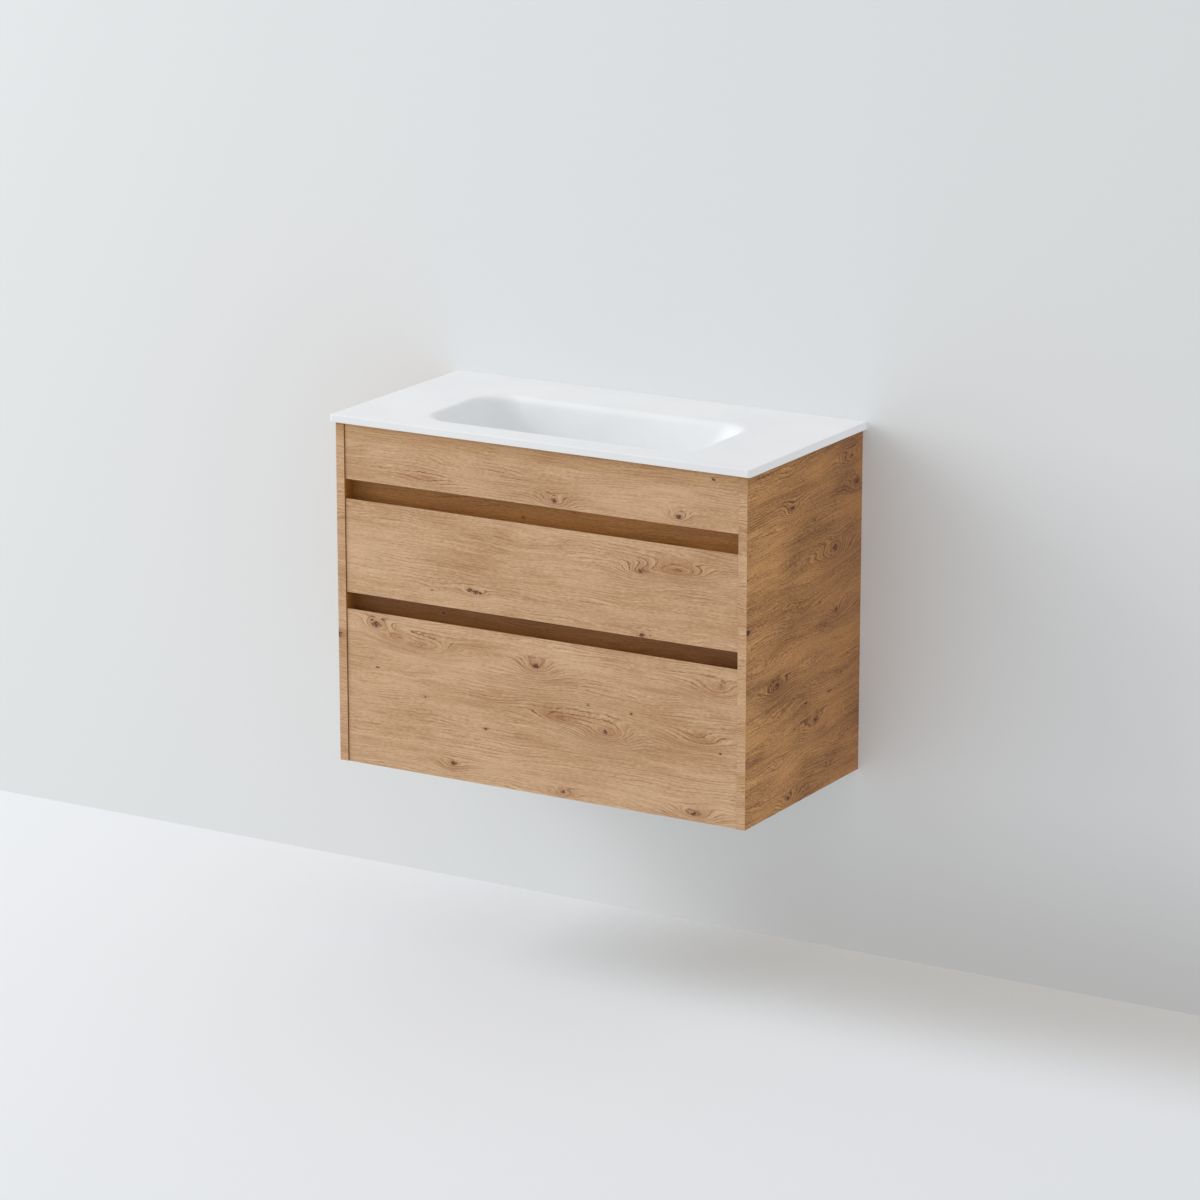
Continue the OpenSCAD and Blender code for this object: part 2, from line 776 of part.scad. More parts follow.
module outlet_pipe() {
    start_y = bowl_y + bottle_r - 6;
    color(plastic) difference() {
        union() {
            rod_y([0, start_y, outlet_z], pipe_r, -start_y);
            rod_y([0, -spigot_l - 3, outlet_z], pipe_r + 1.5, 3);
        }
        rod_y([0, start_y - 1, outlet_z], pipe_r - pipe_wall, -start_y + 2);
    }
}

// ---- Runners: three nested steel members with ball cages between them ----
// Sections are drawn with u across the runner, from the side panel to the drawer box, and v up.

race = ball_d + 0.1;
outer_v = runner_h / 2;
outer_race_v = outer_v - sheet_t;
middle_v = outer_race_v - race;
middle_race_v = middle_v - sheet_t;
inner_v = middle_race_v - race;
web_gap = 1;
middle_u = sheet_t + web_gap;
lip = 1;
cage_t = 0.5;
middle_l = runner_l - 10;
// A cage runs a quarter of the travel on in the member that carries it, with a margin at each end
cage_margin = 12.5;
cage_set = travel / 4 + cage_margin;
cage_l = middle_l - travel / 2 - 2 * cage_margin;
outer_ball_u = sheet_t + 4;
inner_ball_u = outer_ball_u + 2.3;

// A channel section: web from u0 to u0 + sheet_t, flanges to u1, and lips that turn in at the flange ends
module channel(u0, u1, v, lip_h) {
    difference() {
        translate([u0, -v]) square([u1 - u0, 2 * v]);
        translate([u0 + sheet_t, -v + sheet_t]) square([u1 - u0, 2 * v - 2 * sheet_t]);
    }
    if (lip_h > 0) for (s = [-1, 1]) {
        translate([u1 - sheet_t, s > 0 ? v - sheet_t - lip_h : -v]) square([sheet_t, sheet_t + lip_h]);
    }
}

// A section extruded along Y in the right-hand runner, u running in from the side panel
module runner_extrude(z, y0, l) {
    translate([inner_x, y0 + l, z]) rotate([90, 0, 0]) linear_extrude(l) mirror([1, 0]) children();
}

module outer_member(z) {
    color(steel) difference() {
        union() {
            runner_extrude(z, runner_y, runner_l)
                channel(0, outer_ball_u + ball_d / 2 + lip + sheet_t, outer_v, lip);
            // rear stop, folded in from the web
            runner_extrude(z, runner_y + runner_l - 2, 2) translate([0, -5]) square([7, 10]);
        }
        for (s = outer_screws) csk_screw_x([inner_x - sheet_t, runner_y + s, z], outer_screw_l, bore_gap);
        for (s = outer_slots) rod_x([inner_x - 3, runner_y + s, z], 2.4, 6);
    }
}

module middle_member(z) {
    color(steel) difference() {
        runner_extrude(z, runner_y, middle_l)
            channel(middle_u, inner_ball_u + ball_d / 2 + lip + sheet_t, middle_v, lip);
        // access holes in line with the outer member's screws
        for (s = outer_screws) rod_x([inner_x - 8, runner_y + s, z], 4.5, 8);
    }
}

module inner_member(z) {
    color(steel) difference() {
        runner_extrude(z, runner_y, runner_l - 4)
            translate([runner_t, 0]) mirror([1, 0])
                channel(0, runner_t - middle_u - sheet_t - 2.4, inner_v, 0);
        for (s = inner_screws) left() csk_screw_x([-box_x - sheet_t, runner_y + s, z], 8, bore_gap);
    }
}

// A U-shaped cage with a row of balls in each flange
module ball_cage(z, web_u, ball_u, ball_v) {
    flange_u = ball_u + 1.8;
    color(zinc) {
        runner_extrude(z, runner_y + cage_set, cage_l) difference() {
            translate([web_u, -ball_v - cage_t / 2]) square([flange_u - web_u, 2 * ball_v + cage_t]);
            translate([web_u + cage_t, -ball_v + cage_t / 2]) square([flange_u, 2 * ball_v - cage_t]);
        }
        for (k = [0:balls - 1], s = [-1, 1]) {
            translate([inner_x - ball_u, runner_y + cage_set + cage_l * (k + 0.5) / balls, z + s * ball_v])
                sphere(d = ball_d, $fn = 32);
        }
    }
}

module outer_cage(z) {
    ball_cage(z, sheet_t + 0.25, outer_ball_u, middle_v + race / 2);
}

module inner_cage(z) {
    ball_cage(z, middle_u + sheet_t + 0.5, inner_ball_u, inner_v + race / 2);
}

module upper_outer_runner_left() {
    left() outer_member(runner_zs[0]);
}

module upper_outer_runner_right() {
    outer_member(runner_zs[0]);
}

module upper_middle_runner_left() {
    left() middle_member(runner_zs[0]);
}

module upper_middle_runner_right() {
    middle_member(runner_zs[0]);
}

module upper_inner_runner_left() {
    left() inner_member(runner_zs[0]);
}

module upper_inner_runner_right() {
    inner_member(runner_zs[0]);
}

module upper_outer_ball_cages() {
    both_sides() outer_cage(runner_zs[0]);
}

module upper_inner_ball_cages() {
    both_sides() inner_cage(runner_zs[0]);
}

module lower_outer_runner_left() {
    left() outer_member(runner_zs[1]);
}

module lower_outer_runner_right() {
    outer_member(runner_zs[1]);
}

module lower_middle_runner_left() {
    left() middle_member(runner_zs[1]);
}

module lower_middle_runner_right() {
    middle_member(runner_zs[1]);
}

module lower_inner_runner_left() {
    left() inner_member(runner_zs[1]);
}

module lower_inner_runner_right() {
    inner_member(runner_zs[1]);
}

module lower_outer_ball_cages() {
    both_sides() outer_cage(runner_zs[1]);
}

module lower_inner_ball_cages() {
    both_sides() inner_cage(runner_zs[1]);
}

// ---- Drawer boxes ----

cutout_y = bowl_y - bottle_r - cutout_clear;

// The outline of the plumbing cut-out, open to the rear
module cutout_outline(grow, back) {
    half = cutout_half + grow;
    r = cutout_r + grow;
    y = cutout_y - grow;
    translate([-half, y + r]) square([2 * half, back - y - r]);
    translate([-half + r, y]) square([2 * (half - r), r + 1]);
    for (s = [-1, 1]) translate([s * (half - r), y + r]) circle(r = r, $fn = 96);
}

// The groove for a drawer box's bottom
module bottom_groove(box) {
    z = box[0] + bottom_rise;
    block(
        [-box_x + box_t - groove_d - bore_gap, box_y + box_t - groove_d - bore_gap, z],
        [box_x - box_t + groove_d + bore_gap, box_back_y + 1, z + box_bottom_t + bore_gap]
    );
}

module inner_runner_screws(z, gap = 0) {
    for (s = inner_screws) left() csk_screw_x([-box_x - sheet_t, runner_y + s, z], inner_screw_l, gap);
}

module box_side(box) {
    difference() {
        block([box_x - box_t, box_y, box[0]], [box_x, box_back_y, box[1]]);
        bottom_groove(box);
        inner_runner_screws(box[0] + runner_rise, bore_gap);
    }
}

front_screw_l = box_t + board_t * 0.7;

// The screws that hold a front to its drawer box, driven from inside the box
module front_screws(box, gap = 0) {
    for (x = [-0.78, -0.26, 0.26, 0.78], k = [0.35, 0.78]) {
        translate([x * box_x, box_y + box_t, box[0] + k * (box[1] - box[0])])
            rotate([0, 0, -90]) csk_screw_x([0, 0, 0], front_screw_l, gap);
    }
}

module box_subfront(box) {
    difference() {
        block([-box_x + box_t, box_y, box[0]], [box_x - box_t, box_y + box_t, box[1]]);
        bottom_groove(box);
        front_screws(box, bore_gap);
    }
}

module box_bottom(box) {
    z = box[0] + bottom_rise;
    block(
        [-box_x + box_t - groove_d, box_y + box_t - groove_d, z],
        [box_x - box_t + groove_d, box_back_y, z + box_bottom_t]
    );
}

// A front board whose upper edge is bevelled at the back, as a finger grip
module drawer_front(z0, z1, box) {
    bevel = board_t - bevel_land;
    difference() {
        translate([-front_x, 0, 0]) rotate([90, 0, 90]) linear_extrude(2 * front_x) polygon([
            [face_y, z0], [face_back_y, z0], [face_back_y, z1 - bevel],
            [face_y + bevel_land, z1], [face_y, z1]
        ]);
        front_screws(box, bore_gap);
    }
}

module upper_drawer_front() {
    color(oak) drawer_front(upper_front_z, upper_front_top, upper_box);
}

module lower_drawer_front() {
    color(oak) drawer_front(0, lower_front_top, lower_box);
}

module upper_box_left() {
    color(carcass) left() box_side(upper_box);
}

module upper_box_right() {
    color(carcass) box_side(upper_box);
}

module lower_box_left() {
    color(carcass) left() box_side(lower_box);
}

module lower_box_right() {
    color(carcass) box_side(lower_box);
}

module upper_box_subfront() {
    color(carcass) box_subfront(upper_box);
}

module lower_box_subfront() {
    color(carcass) box_subfront(lower_box);
}

module upper_box_back_right() {
    color(carcass) block(
        [cutout_half + guard_t, box_back_y - box_t, upper_box[0] + bottom_rise + box_bottom_t],
        [box_x - box_t, box_back_y, upper_box[1]]
    );
}

module upper_box_back_left() {
    left() upper_box_back_right();
}

module lower_box_back() {
    color(carcass) block(
        [-box_x + box_t, box_back_y - box_t, lower_box[0] + bottom_rise + box_bottom_t],
        [box_x - box_t, box_back_y, lower_box[1]]
    );
}

module upper_box_bottom() {
    color(carcass) difference() {
        box_bottom(upper_box);
        translate([0, 0, upper_box[0]]) linear_extrude(40) cutout_outline(0, 0);
    }
}

module lower_box_bottom() {
    color(carcass) box_bottom(lower_box);
}

// A moulded U-shaped wall that stands on the drawer's bottom, with a flange round its top
module plumbing_guard() {
    z0 = upper_box[0] + bottom_rise + box_bottom_t;
    z1 = upper_box[1];
    wall_back = box_back_y - box_t - bore_gap;
    color(plastic) difference() {
        union() {
            translate([0, 0, z0]) linear_extrude(z1 - z0) cutout_outline(guard_t, box_back_y);
            translate([0, 0, z1 - guard_t]) linear_extrude(guard_t)
                cutout_outline(guard_t + guard_flange, wall_back);
            translate([0, 0, z0]) linear_extrude(2) cutout_outline(guard_t + guard_flange, wall_back);
        }
        translate([0, 0, z0 - 1]) linear_extrude(z1 - z0 + 2) cutout_outline(0, 1);
    }
}

module upper_drawer_screws() {
    color(steel) {
        front_screws(upper_box);
        both_sides() inner_runner_screws(runner_zs[0]);
    }
}

module lower_drawer_screws() {
    color(steel) {
        front_screws(lower_box);
        both_sides() inner_runner_screws(runner_zs[1]);
    }
}

left_side_panel();
right_side_panel();
bottom_panel();
front_stretcher();
top_fascia();
upper_grip_rail();
lower_grip_rail();
rear_top_rail();
rear_bottom_rail();
hanger_left();
hanger_right();
wall_plate_left();
wall_plate_right();
washbasin();
waste_flange();
waste_seal();
waste_nut();
waste_plug();
trap_tube();
trap_nuts();
trap_body();
trap_cup();
outlet_pipe();
cam_locks();
cam_bolts();
dowels();
cabinet_screws();
upper_outer_runner_left();
upper_outer_runner_right();
lower_outer_runner_left();
lower_outer_runner_right();
upper_middle_runner_left();
upper_middle_runner_right();
lower_middle_runner_left();
lower_middle_runner_right();
upper_outer_ball_cages();
upper_inner_ball_cages();
lower_outer_ball_cages();
lower_inner_ball_cages();
upper_drawer_front();
upper_box_left();
upper_box_right();
upper_box_subfront();
upper_box_back_left();
upper_box_back_right();
upper_box_bottom();
plumbing_guard();
upper_inner_runner_left();
upper_inner_runner_right();
upper_drawer_screws();
lower_drawer_front();
lower_box_left();
lower_box_right();
lower_box_subfront();
lower_box_back();
lower_box_bottom();
lower_inner_runner_left();
lower_inner_runner_right();
lower_drawer_screws();
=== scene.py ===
# %% [markdown]
# # A wall-hung vanity in oak decor
# The packed model comes in first and stays where it is. Everything below gives it finishes, a finer
# washbasin and a small studio. The row frame is in metres: +X to the right, +Y into the wall and +Z up, and
# the cabinet's underside is at nought.

import math

import bmesh
import bpy
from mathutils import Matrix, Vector
from mathutils.geometry import tessellate_polygon


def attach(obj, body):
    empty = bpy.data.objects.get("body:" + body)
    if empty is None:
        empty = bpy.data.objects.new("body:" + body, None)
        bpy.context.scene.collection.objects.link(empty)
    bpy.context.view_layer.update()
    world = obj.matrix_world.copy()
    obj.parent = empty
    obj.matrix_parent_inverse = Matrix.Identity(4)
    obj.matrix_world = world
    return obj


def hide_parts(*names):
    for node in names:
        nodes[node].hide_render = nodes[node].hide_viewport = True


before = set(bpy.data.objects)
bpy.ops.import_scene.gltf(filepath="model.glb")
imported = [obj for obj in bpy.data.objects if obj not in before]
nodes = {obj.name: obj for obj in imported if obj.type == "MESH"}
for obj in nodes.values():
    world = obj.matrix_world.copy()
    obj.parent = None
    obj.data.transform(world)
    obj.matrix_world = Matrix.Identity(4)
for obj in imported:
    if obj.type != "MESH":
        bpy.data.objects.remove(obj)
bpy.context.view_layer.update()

# %% [markdown]
# ## The camera
# The photograph looks down at the vanity from its right, with a long lens from far away, so the verticals
# stay nearly upright. The camera's place was worked out from the cabinet's edges. It is turned by a
# direction, not by typed angles, because a direction is easy to check against the drawing.

# %% Camera
def add_object(name, data):
    """A new object, linked into the scene."""
    thing = bpy.data.objects.new(name, data)
    bpy.context.scene.collection.objects.link(thing)
    return thing


camera_place = Vector((3.9617, -6.9398, 2.3854))
camera_aim = Vector((-0.48930, 0.83286, -0.25873))
camera_data = bpy.data.cameras.new("studio_camera")
camera_data.lens = 142.65
camera_data.sensor_width = 36
camera = add_object("studio_camera", camera_data)
camera.location = camera_place
camera.rotation_mode = "QUATERNION"
camera.rotation_quaternion = camera_aim.to_track_quat("-Z", "Y")
bpy.context.scene.camera = camera
bpy.context.scene.view_settings.view_transform = "Standard"
print("camera", round(camera_place.length, 2), "m from the cabinet's foot")

# %% [markdown]
# ## Formulas made of nodes
# A procedural finish is a formula for colour and height at each point. Blender writes such formulas as Math
# nodes, and a long one is easier to read as sums and products. So a socket is wrapped in a Wire, which
# places a Math node for each +, -, * and /, and has words for the few other steps that wood and metal need.

# %% Wires
def feed(tree, value, socket):
    """Link a Wire to a socket, or set the socket to a plain value."""
    if isinstance(value, Wire):
        tree.links.new(value.socket, socket)
    else:
        socket.default_value = value


class Wire:
    """A node's output that works in formulas as a number does."""

    def __init__(self, tree, socket):
        self.tree = tree
        self.socket = socket

    def math(self, operation, *others):
        node = self.tree.nodes.new("ShaderNodeMath")
        node.operation = operation
        for place, value in enumerate((self, *others)):
            feed(self.tree, value, node.inputs[place])
        return Wire(self.tree, node.outputs[0])

    def __add__(self, other):
        return self.math("ADD", other)

    def __sub__(self, other):
        return self.math("SUBTRACT", other)

    def __mul__(self, other):
        return self.math("MULTIPLY", other)

    def __truediv__(self, other):
        return self.math("DIVIDE", other)

    def less_from(self, number):
        """number - this"""
        return (self * -1.0) + number

    def swing(self, reach):
        """A noise moved to lie evenly round nought, and scaled."""
        return (self - 0.5) * reach

    def rise(self, low, high):
        """0 below low, 1 above high and smooth between them; a smooth fall where low is the larger one."""
        node = self.tree.nodes.new("ShaderNodeMapRange")
        node.interpolation_type = "SMOOTHSTEP"
        for label, value in (("Value", self), ("From Min", low), ("From Max", high)):
            feed(self.tree, value, node.inputs[label])
        return Wire(self.tree, node.outputs["Result"])

    def bell(self):
        """exp(-x): 1 at nought, and fading as the value grows."""
        return (self * -1.0).math("EXPONENT")


print("a Wire's own words:", ", ".join(word for word in vars(Wire) if not word.startswith("_")))

# %% [markdown]
# Nearly all natural variation comes from noise: smooth random values around 0.5, which stretch and bend with
# the point at which they are read. A painted picture could hold such variation too, but it would blur close
# up. Colours are written as a screen shows them, and turned into the linear light that a shader wants.

# %% Noise and colours
def noise(tree, x, y, z=0.0, detail=2.0, roughness=0.5):
    """Smooth random values around 0.5 at a point, which is given as three numbers or Wires."""
    point = tree.nodes.new("ShaderNodeCombineXYZ")
    for place, value in enumerate((x, y, z)):
        feed(tree, value, point.inputs[place])
    node = tree.nodes.new("ShaderNodeTexNoise")
    tree.links.new(point.outputs[0], node.inputs["Vector"])
    node.inputs["Scale"].default_value = 1.0
    node.inputs["Detail"].default_value = detail
    node.inputs["Roughness"].default_value = roughness
    return Wire(tree, node.outputs["Fac"])


def blend(tree, share, first, second, kind="MIX"):
    """A colour between two colours."""
    node = tree.nodes.new("ShaderNodeMix")
    node.data_type = "RGBA"
    node.blend_type = kind
    for label, value in (("Factor", share), ("A", first), ("B", second)):
        feed(tree, value, node.inputs[label])
    return Wire(tree, node.outputs["Result"])


def linear(red, green, blue):
    """A colour as a screen shows it, 0 to 255, as the linear colour that a shader wants."""
    parts = [c / 255 for c in (red, green, blue)]
    return [p / 12.92 if p <= 0.04045 else ((p + 0.055) / 1.055) ** 2.4 for p in parts] + [1.0]


print("a screen's middle grey is", round(linear(128, 128, 128)[0], 3), "in linear light")

# %% [markdown]
# ## Groups
# A node group has named inputs and outputs, so one effect serves many materials, each with its own values.
# Only colours and numbers leave a group: the shader itself stays in the material.

# %% Node groups
def new_group(name, inputs, outputs):
    """An empty group: its tree, its inputs as Wires by name, and the function that gives out its results.

    An input is a colour if its value is a list, and an output is a colour if its name is Color.
    """
    tree = bpy.data.node_groups.new(name, "ShaderNodeTree")
    for label, value in inputs.items():
        kind = "NodeSocketColor" if isinstance(value, list) else "NodeSocketFloat"
        tree.interface.new_socket(label, in_out="INPUT", socket_type=kind).default_value = value
    for label in outputs:
        kind = "NodeSocketColor" if label == "Color" else "NodeSocketFloat"
        tree.interface.new_socket(label, in_out="OUTPUT", socket_type=kind)
    entry = tree.nodes.new("NodeGroupInput")
    leave = tree.nodes.new("NodeGroupOutput")

    def give(**results):
        for label, wire in results.items():
            feed(tree, wire, leave.inputs[label])
        print("group", name, "has", len(tree.nodes), "nodes")
        return tree

    return tree, {label: Wire(tree, entry.outputs[label]) for label in inputs}, give


def use_group(tree, group, **values):
    """Place a group in a tree; its outputs come back as Wires by name."""
    node = tree.nodes.new("ShaderNodeGroup")
    node.node_tree = group
    for label, value in values.items():
        feed(tree, value, node.inputs[label.replace("_", " ")])
    return {socket.name: Wire(tree, socket) for socket in node.outputs}


# %% [markdown]
# ## Where a point lies
# A finish needs a point's place and the way that the face there points. The Object coordinates of a CAD node
# are the row frame itself, in metres, so neighbouring boards share one space, and a drawer carries its
# finish along when it moves. The group gives the place in millimetres, for finishes that run along one of
# the three axes.

# %% Places and directions
MM = 0.001


def numbers_of(tree, vector):
    """The three numbers of a vector socket, as Wires."""
    parts = tree.nodes.new("ShaderNodeSeparateXYZ")
    tree.links.new(vector, parts.inputs[0])
    return [Wire(tree, parts.outputs[k]) for k in range(3)]


def place_of_point(tree):
    """X, Y and Z in the row frame, in metres."""
    return numbers_of(tree, tree.nodes.new("ShaderNodeTexCoord").outputs["Object"])


def facing_of_point(tree):
    """The face's direction, as the X, Y and Z of an arrow 1 long."""
    return numbers_of(tree, tree.nodes.new("ShaderNodeNewGeometry").outputs["True Normal"])


def make_place_group():
    tree, _, give = new_group("Place", {}, ("X", "Y", "Z", "Facing X", "Facing Y", "Facing Z"))
    results = {}
    for axis, metres, arrow in zip("XYZ", place_of_point(tree), facing_of_point(tree)):
        results[axis] = metres / MM
        results["Facing " + axis] = arrow.math("ABSOLUTE")
    return give(**results)


place_group = make_place_group()

# %% [markdown]
# ## Materials
# Every material starts in the same way: a Principled shader whose constant values are typed on its own
# sockets, and a Bump node for the fine relief. The relief's depth is a real one, so a pore 0.1 mm deep is
# written as such.

# %% Materials
def new_material(name, **constants):
    """A material with a Principled shader: the material, its tree and the shader node."""
    material = bpy.data.materials.new(name)
    material.use_nodes = True
    shader = material.node_tree.nodes["Principled BSDF"]
    for label, value in constants.items():
        shader.inputs[label.replace("_", " ")].default_value = value
    return material, material.node_tree, shader


def cover(tree, shader, color, roughness, height=None, depth=None):
    """Feed the shader a colour, a roughness and a relief that stands out by a depth where its height is 1."""
    feed(tree, color, shader.inputs["Base Color"])
    feed(tree, roughness, shader.inputs["Roughness"])
    if height:
        bump = tree.nodes.new("ShaderNodeBump")
        bump.inputs["Distance"].default_value = depth
        feed(tree, height, bump.inputs["Height"])
        tree.links.new(bump.outputs["Normal"], shader.inputs["Normal"])


def tones(**colors):
    """Screen colours, as a group's inputs take them."""
    return {label: linear(*color) for label, color in colors.items()}


def dress(material, *names):
    """Put a material on whole CAD nodes, by their object's own slots."""
    for name in names:
        for material_slot in nodes[name].material_slots:
            material_slot.link = "OBJECT"
            material_slot.material = material
    print(material.name, "on", ", ".join(names))


# %% [markdown]
# ## The way the grain runs
# Oak decor is a printed and embossed sheet. On the fronts its grain runs from left to right, and on the side
# panels from front to back, while the narrow front edges of the side panels take it from left to right
# again. The group below finds which way a face points, and gives a place on the board as millimetres along
# and across the grain. An edge band is a strip of its own, so on a front's ends the grain stands upright.
# Two masks tell a side panel's outer face and the faces that look into the cabinet.

# %% Board coordinates
def make_board_group():
    tree, given, give = new_group("Board place", {"Front": 1.0}, ("Along", "Across", "Outer", "Inner"))
    x, y, z = (metres / MM for metres in place_of_point(tree))
    sideways, _, upwards = facing_of_point(tree)
    side = sideways.math("ABSOLUTE").rise(0.6, 0.8)
    level = upwards.math("ABSOLUTE").rise(0.6, 0.8)
    front = given["Front"]
    level_along = y + (x - y) * front
    level_across = x + (y - x) * front
    side_along = y + (z - y) * front
    side_across = z + (y - z) * front
    return give(
        Along=x + (side_along - x) * side + (level_along - x) * level,
        Across=z + (side_across - z) * side + (level_across - z) * level,
        Outer=side,
        Inner=(sideways * x.math("SIGN")).rise(-0.6, -0.8),
    )


board_place = make_board_group()

# %% [markdown]
# ## A knot
# A knot is where a branch left the trunk. The grain flows round it as water flows round a stone, its own
# rings are small and closed, and its heart is nearly black. The group takes the running grain field, which
# counts millimetres across the grain, and pushes it aside in an oval round the knot's middle. Groups like
# this one are placed one after another, once for each knot that the board shows. A picture of a knot would
# be simpler, but it blurs close up, and its rings wouldn't join the board's.

# %% Knot group
pinch, ring_push = 0.75, 1.7
heart_length, heart_width, heart_raggedness = 2.0, 1.3, 5.0


def make_knot_group():
    tree, given, give = new_group(
        "Knot",
        {"Along": 0.0, "Across": 0.0, "Ragged": 0.5, "Field": 0.0, "Heart": 0.0, "Halo": 0.0,
         "Middle Along": 0.0, "Middle Across": 0.0, "Size": 12.0, "Stretch": 2.2, "Swell": 6.0,
         "Heart Size": 3.0},
        ("Field", "Heart", "Halo"),
    )
    du = given["Along"] - given["Middle Along"]
    dv = given["Across"] - given["Middle Across"]
    s = du / (given["Size"] * given["Stretch"])
    t = dv / given["Size"]
    near = (s * s + t * t).bell()
    hu = du / (given["Heart Size"] * heart_length)
    hv = dv / (given["Heart Size"] * heart_width)
    heart = (hu * hu + hv * hv + given["Ragged"].swing(heart_raggedness)).rise(1.1, 0.0)
    return give(
        Field=given["Field"] - dv * near * pinch + near * given["Swell"] * ring_push,
        Heart=given["Heart"].math("MAXIMUM", heart),
        Halo=given["Halo"].math("MAXIMUM", near),
    )


knot_group = make_knot_group()

# %% [markdown]
# ## Oak grain
# From far away oak is a warm tan with broad soft bands, streaks and a fine fibre. Each of these is a noise
# drawn out along the grain, with its wave lengths in millimetres. Most are read at the running field, so
# they bend together round a knot, and its slow swell makes the nested arcs of rings that are cut nearly
# flat.

# %% Oak tone
front_tones = tones(Light=(215, 178, 140), Dark=(180, 137, 96), Line=(118, 74, 38))


def grain_noises(tree, given):
    """The function that reads noises drawn out along the grain."""
    def drawn(length, width, shift, detail, roughness=0.5, over="Field"):
        u, v = given["Along"] / length, given[over] / width
        return noise(tree, u, v, given["Seed"] + shift, detail, roughness)

    return drawn


def oak_tone(tree, given, drawn):
    """The colour of the wood between its pores, and its fibre."""
    band = drawn(300.0, 20.0, 0.0, 2.0)
    patch = drawn(180.0, 70.0, 7.0, 1.0, over="Across")
    streak = drawn(150.0, 3.2, 9.0, 2.0)
    fibre = drawn(55.0, 1.5, 3.0, 3.0, 0.6)
    cell = drawn(8.0, 1.3, 5.0, 1.0)
    tone = band.swing(0.6) + patch.swing(0.85) + streak.swing(0.6) + fibre.swing(1.2) + 0.56 + cell.swing(1.1)
    base = blend(tree, tone.rise(0.0, 1.0), given["Dark"], given["Light"])
    smudge = drawn(95.0, 9.0, 11.0, 2.0)
    base = blend(tree, smudge.rise(0.5, 0.78) * 0.32, base, linear(160, 112, 70))
    cloudy = smudge.rise(0.35, 0.65) * 0.26 + 0.03
    return blend(tree, given["Halo"].rise(0.04, 0.75) * cloudy, base, linear(166, 108, 60)), fibre


print("the fronts' light tone in linear light:", [round(c, 3) for c in front_tones["Light"][:3]])

# %% [markdown]
# Closer, oak has rows of short dark pores along its growth rings. A ring is where the field has run on by
# one ring width, and a wobble, breaks and bare patches keep the rings from looking ruled. Small pale flecks
# lie across the grain, most of them near the knots.

# %% Oak pores and flecks
ring_width = 5.2


def oak_pores(given, drawn):
    """How strongly the dark pores show."""
    halo = given["Halo"]
    wobble = drawn(8.0, 3.0, 13.0, 3.0, over="Across").swing(0.6)
    turn = (given["Field"] / ring_width + wobble).math("FRACT")
    ring = turn.rise(0.0, 0.08) * turn.rise(0.32, 0.08)
    broken = drawn(14.0, 1.1, 17.0, 2.0).rise(0.2, 0.6)
    shown = drawn(110.0, 42.0, 19.0, 1.0, over="Across").rise(0.42, 0.62)
    shown = shown * given["Ring Show"] + halo.rise(0.03, 0.4) * 0.7 + 0.16
    pore = drawn(10.0, 0.9, 23.0, 1.0).rise(0.6, 0.74)
    return ring * broken * (shown * 0.56 + halo.rise(0.0, 0.5) * 0.18) + pore * 0.2


def oak_flecks(tree, given, drawn):
    """How strongly the pale flecks show."""
    along, across = given["Along"], given["Across"]
    slanted = along * 0.8 + across
    fleck = noise(tree, slanted / 2.0, (across - along * 0.5) / 9.0, given["Seed"] + 29.0, 1.0)
    where = drawn(45.0, 18.0, 31.0, 0.0, over="Across").rise(0.58, 0.78) + given["Halo"].rise(0.15, 0.7)
    return (fleck.rise(0.62, 0.7) * where).math("MINIMUM", 1.0)


print("a growth ring is", ring_width, "mm wide")

# %% [markdown]
# The group lays these over each other, from the plain wood up to the dark hearts of the knots. Pores and
# hearts are pressed into the sheet, and the pores are a little duller than the wood round them.

# %% Oak group
thread_lift, fleck_lift = [1.1, 1.13, 1.17, 1.0], [1.16, 1.2, 1.26, 1.0]


def make_oak_group():
    tree, given, give = new_group(
        "Oak grain",
        {"Along": 0.0, "Across": 0.0, "Field": 0.0, "Heart": 0.0, "Halo": 0.0, "Seed": 0.0,
         "Ring Show": 0.9, **front_tones},
        ("Color", "Height", "Gloss"),
    )
    drawn = grain_noises(tree, given)
    base, fibre = oak_tone(tree, given, drawn)
    lines = oak_pores(given, drawn)
    color = blend(tree, lines.math("MINIMUM", 0.85), base, given["Line"])
    pale_thread = drawn(38.0, 1.1, 37.0, 1.0).rise(0.56, 0.7)
    color = blend(tree, pale_thread, color, thread_lift, "MULTIPLY")
    color = blend(tree, oak_flecks(tree, given, drawn), color, fleck_lift, "MULTIPLY")
    color = blend(tree, given["Halo"].rise(0.7, 1.0) * 0.3, color, linear(140, 88, 46))
    color = blend(tree, given["Heart"] * 0.9, color, linear(74, 32, 8))
    cut = (lines * 0.7 + given["Heart"] * 0.5).less_from(1.0) + fibre * 0.25
    return give(Color=color, Height=cut, Gloss=lines * 0.12 + 0.5)


oak_grain = make_oak_group()

# %% [markdown]
# ## Shaded places
# Faces that look into the cabinet are brown in the photograph, and so is the strip of the fronts under the
# slab. The studio's soft light reaches both too well, so their tones are darkened here, by their place on
# the board. Weaker lamps would darken them too, and everything else with them.

# %% Shaded places
slab_low = 597.0
wide_shade, near_shade = [0.92, 0.88, 0.81, 1.0], [0.8, 0.68, 0.44, 1.0]
# Painted shade tones, for faces that look into the cabinet and for the upper grip rail in its recess.
inside_shade_tones = tones(Light=(181, 125, 62), Dark=(144, 94, 41), Line=(92, 54, 20))


